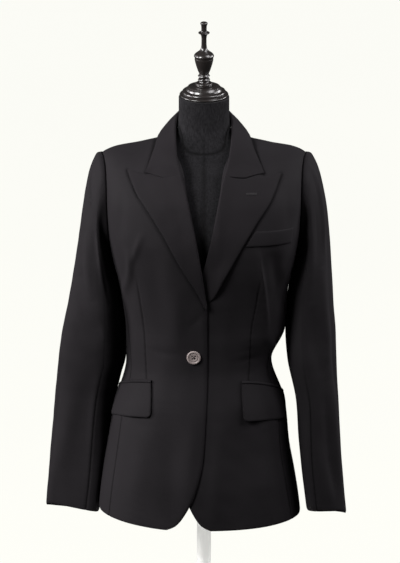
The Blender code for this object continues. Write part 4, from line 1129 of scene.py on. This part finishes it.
def facing_axes(facing):
    side_way = np.cross((0, 0, 1), facing)
    side_way /= np.linalg.norm(side_way)
    return side_way, np.cross(facing, side_way)


def circle(radius, height, count):
    turn = np.linspace(0, 2 * np.pi, count, endpoint=False)
    return np.stack([radius * np.cos(turn), radius * np.sin(turn), np.full(count, height)], axis=-1)


def button_piece(finish):
    """A turned four-hole button: rounded rim, a groove, and a shallow dish."""
    middle, facing = button_place()
    radius = (BUTTON_HIGH[2] - BUTTON_LOW[2]) / 2
    loops = [circle(r * radius, (z - 0.5) * BUTTON_THICKNESS, 96) for r, z in BUTTON_PROFILE]
    made = ring_mesh("front_button", loops, finish)
    for k in range(4):
        corner = np.pi / 4 + k * np.pi / 2
        hole = circle(HOLE_RADIUS, 0, 24) + (HOLE_OFFSET * np.cos(corner), HOLE_OFFSET * np.sin(corner), 0)
        drill = ring_mesh(f"drill_{k}", [hole - (0, 0, 0.01), hole + (0, 0, 0.01)], finish)
        cut = made.modifiers.new(f"hole_{k}", "BOOLEAN")
        cut.operation, cut.object, cut.solver = "DIFFERENCE", drill, "EXACT"
    settled = bpy.data.meshes.new_from_object(made.evaluated_get(bpy.context.evaluated_depsgraph_get()))
    made.modifiers.clear()
    made.data = settled
    for k in range(4):
        bpy.data.objects.remove(bpy.data.objects[f"drill_{k}"])
    side_way, up_way = facing_axes(facing)
    stand = np.stack([side_way, up_way, facing], axis=-1)
    points = np.empty(len(settled.vertices) * 3)
    settled.vertices.foreach_get("co", points)
    points = points.reshape(-1, 3) @ stand.T + middle
    settled.vertices.foreach_set("co", points.ravel())
    settled.update()
    return made


def strand(name, lines, radius, finish, sides=8):
    """Threads along lines of points, joined as one mesh."""
    points, faces = [], []
    for line in lines:
        line = np.array(line)
        along = np.gradient(line, axis=0)
        along /= np.linalg.norm(along, axis=-1, keepdims=True)
        first = np.cross(along, (0.31, 0.17, 0.93))  # any way that isn't the line's own
        first /= np.linalg.norm(first, axis=-1, keepdims=True)
        second = np.cross(along, first)
        turn = np.linspace(0, 2 * np.pi, sides, endpoint=False)[:, None, None]
        ring = line + radius * (np.cos(turn) * first + np.sin(turn) * second)
        base = len(points)
        points += ring.transpose(1, 0, 2).reshape(-1, 3).tolist()
        for i in range(len(line) - 1):
            for j in range(sides):
                k = (j + 1) % sides
                a, b = base + i * sides + j, base + i * sides + k
                faces.append((a, b, b + sides, a + sides))
        faces.append([base + j for j in range(sides)][::-1])
        faces.append([base + (len(line) - 1) * sides + j for j in range(sides)])
    return meshed(name, points, faces, finish)


def button_thread(finish):
    """The thread that crosses between the holes, with its shank behind."""
    middle, facing = button_place()
    side_way, up_way = facing_axes(facing)
    lines = []
    for k in range(2):
        corner = np.pi / 4 + k * np.pi / 2
        out = HOLE_OFFSET * (np.cos(corner) * side_way + np.sin(corner) * up_way)
        for shift in (-0.00028, 0.0, 0.00028):
            beside = shift * (np.cos(corner) * up_way - np.sin(corner) * side_way)
            share = np.linspace(-1, 1, 15)[:, None]
            lift = 0.0012 + 0.0002 * k - 0.0038 * np.abs(share) ** 6
            lines.append(middle + beside + out * share + facing * lift)
    return strand("button_thread", lines, THREAD_RADIUS, finish)


def buttonhole(side, finish):
    """The worked buttonhole of a lapel: close stitches on both sides of a slit."""
    start, end = np.array(BUTTONHOLE)
    along = end - start
    length = np.linalg.norm(along)
    along /= length
    beside = np.array((-along[1], along[0]))
    lines = []
    for share in np.linspace(0, 1, 34):
        for way in (-1, 1):
            stitch = [(start + along * share * length + beside * way * out, lift)
                      for out, lift in ((0.0003, 0.0006), (0.0008, 0.0010), (0.0014, 0.0004))]
            line = [seen_point(side, *place, LAPEL_LIFT + lift) for place, lift in stitch]
            lines.append([point + (0, 0, HEM) for point in line])
    return strand("lapel_buttonhole", lines, STITCH_RADIUS, finish, 6)


# ---------------------------------------------------------------- the form and its cap
def form_body(finish):
    """The padded torso and neck in a knitted cover, with its centre seam and neck seam."""
    turn = np.linspace(0, 2 * np.pi, 220, endpoint=False)
    heights = np.concatenate([np.linspace(FORM[0, 0], 0.60, 90), np.linspace(0.602, FORM[-1, 0], 100)])
    loops, shade = [], []
    for height in heights:
        wide, front, back, square = (smooth(FORM, height, k) for k in (1, 2, 3, 4))
        power = 2 / square
        across = wide * squared(np.sin(turn), power) - FORM_SHIFT * (1 - ease(height, 0.228, 0.428))
        depth = np.where(np.cos(turn) > 0, -front, back) * np.abs(np.cos(turn)) ** power
        lean = np.tan(CAP_LEAN) * ease(height, 0.718, FORM[-1, 0])
        from_centre = np.abs(across) + 1.0 * (np.abs(np.cos(turn)) < 0.5)
        neck_seam = height - (NECK_SEAM - NECK_SEAM_DIP * np.clip(np.cos(turn), 0, 1) ** 2)
        # painted shade at the centre seam and the neck seam
        seam = np.maximum(0.7 * painted_seam_shade(from_centre) * (height < 0.69), painted_seam_shade(neck_seam * 0.8))
        shrink = 1 - 0.0009 * seam / np.maximum(np.hypot(across, depth), 0.02)
        leaning = HEM + height + (depth - CAP_DEPTH) * lean
        loops.append(np.stack([across * shrink, depth * shrink, leaning], axis=-1))
        shade.append(seam)
    return ring_mesh("form_body", loops, finish, np.array(shade))


def turned_wood(name, profile, finish):
    """A turned piece on the neck's leaning axis, its profile rounded between the points given."""
    length = run(profile)
    fine = np.linspace(0, length[-1], 4 * len(profile))
    radius, height = (cubic(length, profile[:, k], fine) for k in (0, 1))
    turn = np.linspace(0, 2 * np.pi, 96, endpoint=False)
    foot = np.array([0.0, CAP_DEPTH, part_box("neck_cap")[0][2] + 0.0050])
    axis = np.array([0.0, -np.sin(CAP_LEAN), np.cos(CAP_LEAN)])
    deep = np.array([0.0, np.cos(CAP_LEAN), np.sin(CAP_LEAN)])
    wide = np.array([1.0, 0.0, 0.0])
    loops = [foot + axis * h + r * (np.cos(turn)[:, None] * wide + np.sin(turn)[:, None] * deep)
             for r, h in zip(radius, height, strict=True)]
    return ring_mesh(name, loops, finish)


# ---------------------------------------------------------------- finishes
class Reading:
    """A value in a finish. Arithmetic on it adds Math nodes."""

    def __init__(self, bench, socket):
        self.bench, self.socket = bench, socket

    def worked(self, operation, *values):
        return self.bench.node("ShaderNodeMath", {"operation": operation}, dict(enumerate(values)))

    def __add__(self, other):
        return self.worked("ADD", self, other)

    def __mul__(self, other):
        return self.worked("MULTIPLY", self, other)

    def __sub__(self, other):
        return self.worked("SUBTRACT", self, other)

    def sine(self):
        return self.worked("SINE", self)


class Bench:
    """The nodes of one finish, or of the sky, around its shader."""

    def __init__(self, name, sky=False):
        self.finish = (bpy.data.worlds if sky else bpy.data.materials).new(name)
        self.finish.use_nodes = True
        self.tree = self.finish.node_tree
        self.shader = self.tree.nodes["Background" if sky else "Principled BSDF"]

    def node(self, kind, settings=None, values=None, output=0):
        """A node of this kind: its settings first, then its sockets' values or links."""
        made = self.tree.nodes.new(kind)
        for key, setting in (settings or {}).items():
            setattr(made, key, setting)
        for key, value in (values or {}).items():
            self.set(made.inputs[key], value)
        return Reading(self, made.outputs[output])

    def set(self, socket, value):
        if isinstance(value, Reading):
            self.tree.links.new(value.socket, socket)
        else:
            socket.default_value = value

    def surface(self, **values):
        for key, value in values.items():
            self.set(self.shader.inputs[key.replace("_", " ")], value)
        return self.finish

    def noise(self, where, scale, detail=3.0, rough=0.55):
        values = {"Vector": where, "Scale": scale, "Detail": detail, "Roughness": rough}
        return self.node("ShaderNodeTexNoise", {}, values)

    def mix(self, share, low, high):
        """Colour low to high."""
        settings = {"data_type": "RGBA"}
        return self.node("ShaderNodeMix", settings, {0: share, 6: low, 7: high}, 2)

    def bump(self, height, strength, distance):
        return self.node("ShaderNodeBump", {}, {"Height": height, "Strength": strength, "Distance": distance})

    def place(self):
        return self.node("ShaderNodeTexCoord", {}, {}, 3)

    def stretched(self, where, by):
        return self.node("ShaderNodeMapping", {}, {"Vector": where, "Scale": by})

    # The painted shade at seams and edges, kept on each mesh.
    def seam(self):
        return self.node("ShaderNodeAttribute", {"attribute_name": "seam"}, {}, 2)


def suiting(name, dark, light):
    """Black worsted suiting: fine plain weave, soft sheen, faint slubs, and painted shade at its seams and
    edges.
    """
    b = Bench(name)
    threads = b.node("ShaderNodeUVMap", {"uv_map": "threads"})
    warp, weft = (b.node("ShaderNodeSeparateXYZ", {}, {"Vector": threads}, way) for way in (0, 1))
    turns = 2 * np.pi / THREAD_PITCH
    weave = (warp * turns).sine() * (weft * turns).sine() * 0.5 + 0.5
    place = b.place()
    slub = b.noise(b.stretched(threads, (260.0, 2400.0, 1.0)), 1.0, 2.0)
    slubs = slub + b.noise(b.stretched(threads, (2400.0, 260.0, 1.0)), 1.0, 2.0)
    cloudy = b.noise(place, 9.0, 4.0)
    felt = b.noise(place, 900.0, 2.0)
    share = cloudy * 0.55 + slubs * 0.22 + weave * 0.08
    colour = b.mix(share, (*dark, 1), (*light, 1))
    # painted shade: seams and edges darken towards a quarter of the dark tone
    colour = b.mix(b.seam() * 0.75, colour, (*(0.25 * part for part in dark), 1))
    height = weave * 0.5 + felt * 0.5 + slubs * 0.25
    return b.surface(
        Base_Color=colour,
        Roughness=cloudy * 0.12 + felt * 0.08 + 0.62,
        Normal=b.bump(height, 0.30, 0.00022),
        Sheen_Weight=0.02,
        Sheen_Roughness=0.42,
        Sheen_Tint=(0.90, 0.84, 0.92, 1),
        Specular_IOR_Level=0.06,
    )


def jersey(name):
    """Charcoal heathered jersey: mottled grey and black fibres, matt, with a knitted rib."""
    b = Bench(name)
    place = b.place()
    fibre = b.noise(b.stretched(place, (1.0, 1.0, 0.45)), 900.0, 3.0, 0.7)
    fleck = b.noise(b.stretched(place, (1.0, 1.0, 0.30)), 420.0, 4.0, 0.75)
    cloud = b.noise(place, 26.0, 3.0)
    share = (fleck * 1.5 + fibre * 0.7 + cloud * 0.35 - 0.96) * (1 / 0.76)
    heather = b.mix(share, (0.0055, 0.0054, 0.0060, 1), (0.0260, 0.0250, 0.0275, 1))
    # painted shade at the form's seams
    colour = b.mix(b.seam() * 0.8, heather, (0.003, 0.003, 0.003, 1))
    return b.surface(
        Base_Color=colour,
        Roughness=fleck * 0.10 + 0.86,
        Normal=b.bump(fibre * 0.6 + fleck * 0.5, 0.45, 0.0005),
        Sheen_Weight=0.03,
        Sheen_Roughness=0.5,
        Specular_IOR_Level=0.06,
    )


def ebonised(name):
    """Turned wood stained black and polished, with faint grain, browner in places."""
    b = Bench(name)
    place = b.place()
    grain = b.noise(b.stretched(place, (90.0, 90.0, 9.0)), 1.0, 5.0, 0.6)
    cloud = b.noise(place, 60.0, 3.0)
    colour = b.mix(grain * 0.8 + cloud * 0.2, (0.006, 0.0055, 0.006, 1), (0.026, 0.021, 0.019, 1))
    return b.surface(
        Base_Color=colour,
        Roughness=grain * 0.12 + cloud * 0.06 + 0.20,
        Normal=b.bump(grain, 0.10, 0.0003),
        Coat_Weight=cloud * 0.2 + 0.5,
        Coat_Roughness=0.18,
    )


def resin(name):
    """Pale pinkish-grey button resin with a cloudy figure and a thin coat."""
    b = Bench(name)
    place = b.place()
    cloud = b.noise(place, 140.0, 4.0, 0.6)
    fine = b.noise(place, 900.0, 2.0)
    colour = b.mix(cloud * 0.9 + fine * 0.2, (0.16, 0.125, 0.122, 1), (0.34, 0.29, 0.28, 1))
    return b.surface(
        Base_Color=colour,
        Roughness=fine * 0.12 + 0.42,
        Normal=b.bump(fine, 0.08, 0.0001),
        Coat_Weight=cloud * 0.05 + 0.05,
    )


def thread(name, low, high):
    b = Bench(name)
    twist = b.noise(b.place(), 2600.0, 2.0)
    colour = b.mix(twist, (*low, 1), (*high, 1))
    return b.surface(Base_Color=colour, Roughness=twist * 0.2 + 0.6, Normal=b.bump(twist, 0.4, 0.0001))


def glowing_enamel(name):
    """White enamel on steel: slightly orange-peeled, a little duller in patches, and glowing faintly in its
    own colour as painted light that keeps it pale.
    """
    b = Bench(name)
    place = b.place()
    peel = b.noise(place, 420.0, 2.0)
    patch = b.noise(place, 7.0, 4.0)
    colour = b.mix(patch, (0.80, 0.80, 0.77, 1), (0.90, 0.90, 0.875, 1))
    return b.surface(
        Base_Color=colour,
        Roughness=patch * 0.16 + 0.24,
        Normal=b.bump(peel, 0.08, 0.0003),
        Coat_Weight=patch * 0.1 + 0.2,
        # painted light: the enamel glows faintly in its own colour
        Emission_Color=colour,
        Emission_Strength=0.55,
    )


def floor_finish(name):
    b = Bench(name)
    cloud = b.noise(b.place(), 0.6, 3.0)
    colour = b.mix(cloud, (0.016, 0.015, 0.010, 1), (0.024, 0.022, 0.015, 1))
    glow = b.mix(cloud, (0.965, 0.965, 0.915, 1), (0.985, 0.985, 0.935, 1))
    return b.surface(
        Base_Color=colour,
        Roughness=cloud * 0.05 + 0.9,
        Specular_IOR_Level=0.1,
        Emission_Color=glow,
        Emission_Strength=0.988,
    )


# ---------------------------------------------------------------- putting it together
def declare(piece_and_grid, node):
    """Attaches a piece of cloth and hides the node it stands for; the flat size it was cut to is worked out
    but not used.
    """
    piece, grid = piece_and_grid
    simple(piece, "suiting", node)
    one, two = grid[1:, 1:] - grid[:-1, :-1], grid[1:, :-1] - grid[:-1, 1:]
    area = float(np.linalg.norm(np.cross(one, two), axis=-1).sum() / 2)
    wide, long = (max(float(run(grid, way).max()), NARROWEST) for way in (1, 0))
    area = float(np.clip(area, 0.3 * wide * long, wide * long))


def simple(piece, slot, *nodes):
    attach(piece, "root")
    if nodes:
        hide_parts(*nodes)
    return piece


def make_blazer():
    cloth = suiting("black_suiting", (0.0070, 0.0063, 0.0072), (0.0200, 0.0180, 0.0200))
    # painted shade: the lapels and the collar get a slightly darker copy of the same suiting
    facing = suiting("black_suiting_facing", (0.0068, 0.0060, 0.0070), (0.0190, 0.0168, 0.0188))
    form = simple(form_body(jersey("heathered_jersey")), "form_jersey", "form_torso")
    for word, side in (("right", -1), ("left", 1)):
        declare(front_cloth(side, cloth), f"front_{word}")
        declare(side_cloth(side, cloth), f"side_{word}")
        declare(back_cloth(side, cloth), f"back_{word}")
        declare(lapel_cloth(side, facing), f"lapel_{word}")
        top = sleeve_cloth(f"{word}_top_sleeve", side, HIND_SEAM - 360, FORE_SEAM, 96, cloth)
        declare(top, f"sleeve_top_{word}")
        under = sleeve_cloth(f"{word}_under_sleeve", side, FORE_SEAM, HIND_SEAM, 54, cloth)
        declare(under, f"sleeve_under_{word}")
        declare(flap_cloth(side, cloth), f"flap_{word}")
        declare(jet_cloth(side, cloth), f"jet_{word}")
    declare(welt_cloth(cloth), "breast_welt")
    declare(fall_cloth(facing), "collar_fall")
    declare(stand_cloth(facing), "collar_stand")
    simple(button_piece(resin("button_resin")), "button_resin", "button")
    simple(button_thread(thread("dark_thread", (0.020, 0.017, 0.018), (0.060, 0.050, 0.050))), "button_resin")
    simple(buttonhole(1, thread("charcoal_thread", (0.022, 0.020, 0.022), (0.050, 0.046, 0.049))), "suiting")


def make_stand():
    wood = ebonised("ebonised_wood")
    simple(turned_wood("turned_cap", CAP_PROFILE, wood), "ebonised_wood", "neck_cap")
    simple(turned_wood("turned_finial", FINIAL_PROFILE, wood), "ebonised_wood", "finial")
    paint = glowing_enamel("white_enamel")
    for name in ("pole", "stand_base", "form_board"):
        for slot in bpy.data.objects[name].material_slots:
            slot.material = paint


def area_light(name, place, power, colour):
    """A square lamp, turned towards the middle of the chest."""
    lamp = bpy.data.lights.new(name, "AREA")
    lamp.shape = "RECTANGLE"
    lamp.size = lamp.size_y = LAMP_SIZE
    lamp.energy = power
    lamp.color = colour
    made = placed(name, lamp)
    made.location = place
    towards = np.array(CHEST) - place
    flat = np.hypot(towards[0], towards[1])
    made.rotation_euler = (np.arctan2(flat, -towards[2]), 0, np.arctan2(-towards[0], towards[1]))


def make_studio():
    """A pale floor without end, a bright even sky, and a soft key light from the front left of the view."""
    ways = [(-1, -1), (1, -1), (1, 1), (-1, 1)]
    corners = [(x * FLOOR_REACH, y * FLOOR_REACH, -0.0005) for x, y in ways]
    floor = meshed("floor", corners, [(0, 1, 2, 3)], floor_finish("pale_floor"))
    floor.visible_diffuse = False
    floor.visible_glossy = False

    sky = Bench("studio", sky=True)
    seen = sky.node("ShaderNodeLightPath")
    strength = seen * (1 - SKY_ON_CLOTH) + SKY_ON_CLOTH
    bpy.context.scene.world = sky.surface(Color=(1.0, 1.0, 0.975, 1), Strength=strength)
    for lamp in LAMPS:
        area_light(*lamp)


def make_camera():
    """A long lens, 12.5 degrees above the horizontal, that takes in one metre of height."""
    camera = bpy.data.cameras.new("camera")
    camera.sensor_fit = "VERTICAL"
    camera.sensor_height = 24.0
    camera.lens = camera.sensor_height * CAMERA_AWAY / HEIGHT_SHOWN
    camera.clip_end = 400.0
    made = placed("camera", camera)
    behind = np.array([0, -np.cos(CAMERA_RAISED), np.sin(CAMERA_RAISED)])
    made.location = VIEW_CENTRE + CAMERA_AWAY * behind
    made.rotation_euler = (np.pi / 2 - CAMERA_RAISED, 0, 0)
    bpy.context.scene.camera = made


make_camera()
make_studio()
make_blazer()
make_stand()
bpy.context.scene.view_settings.view_transform = "Standard"
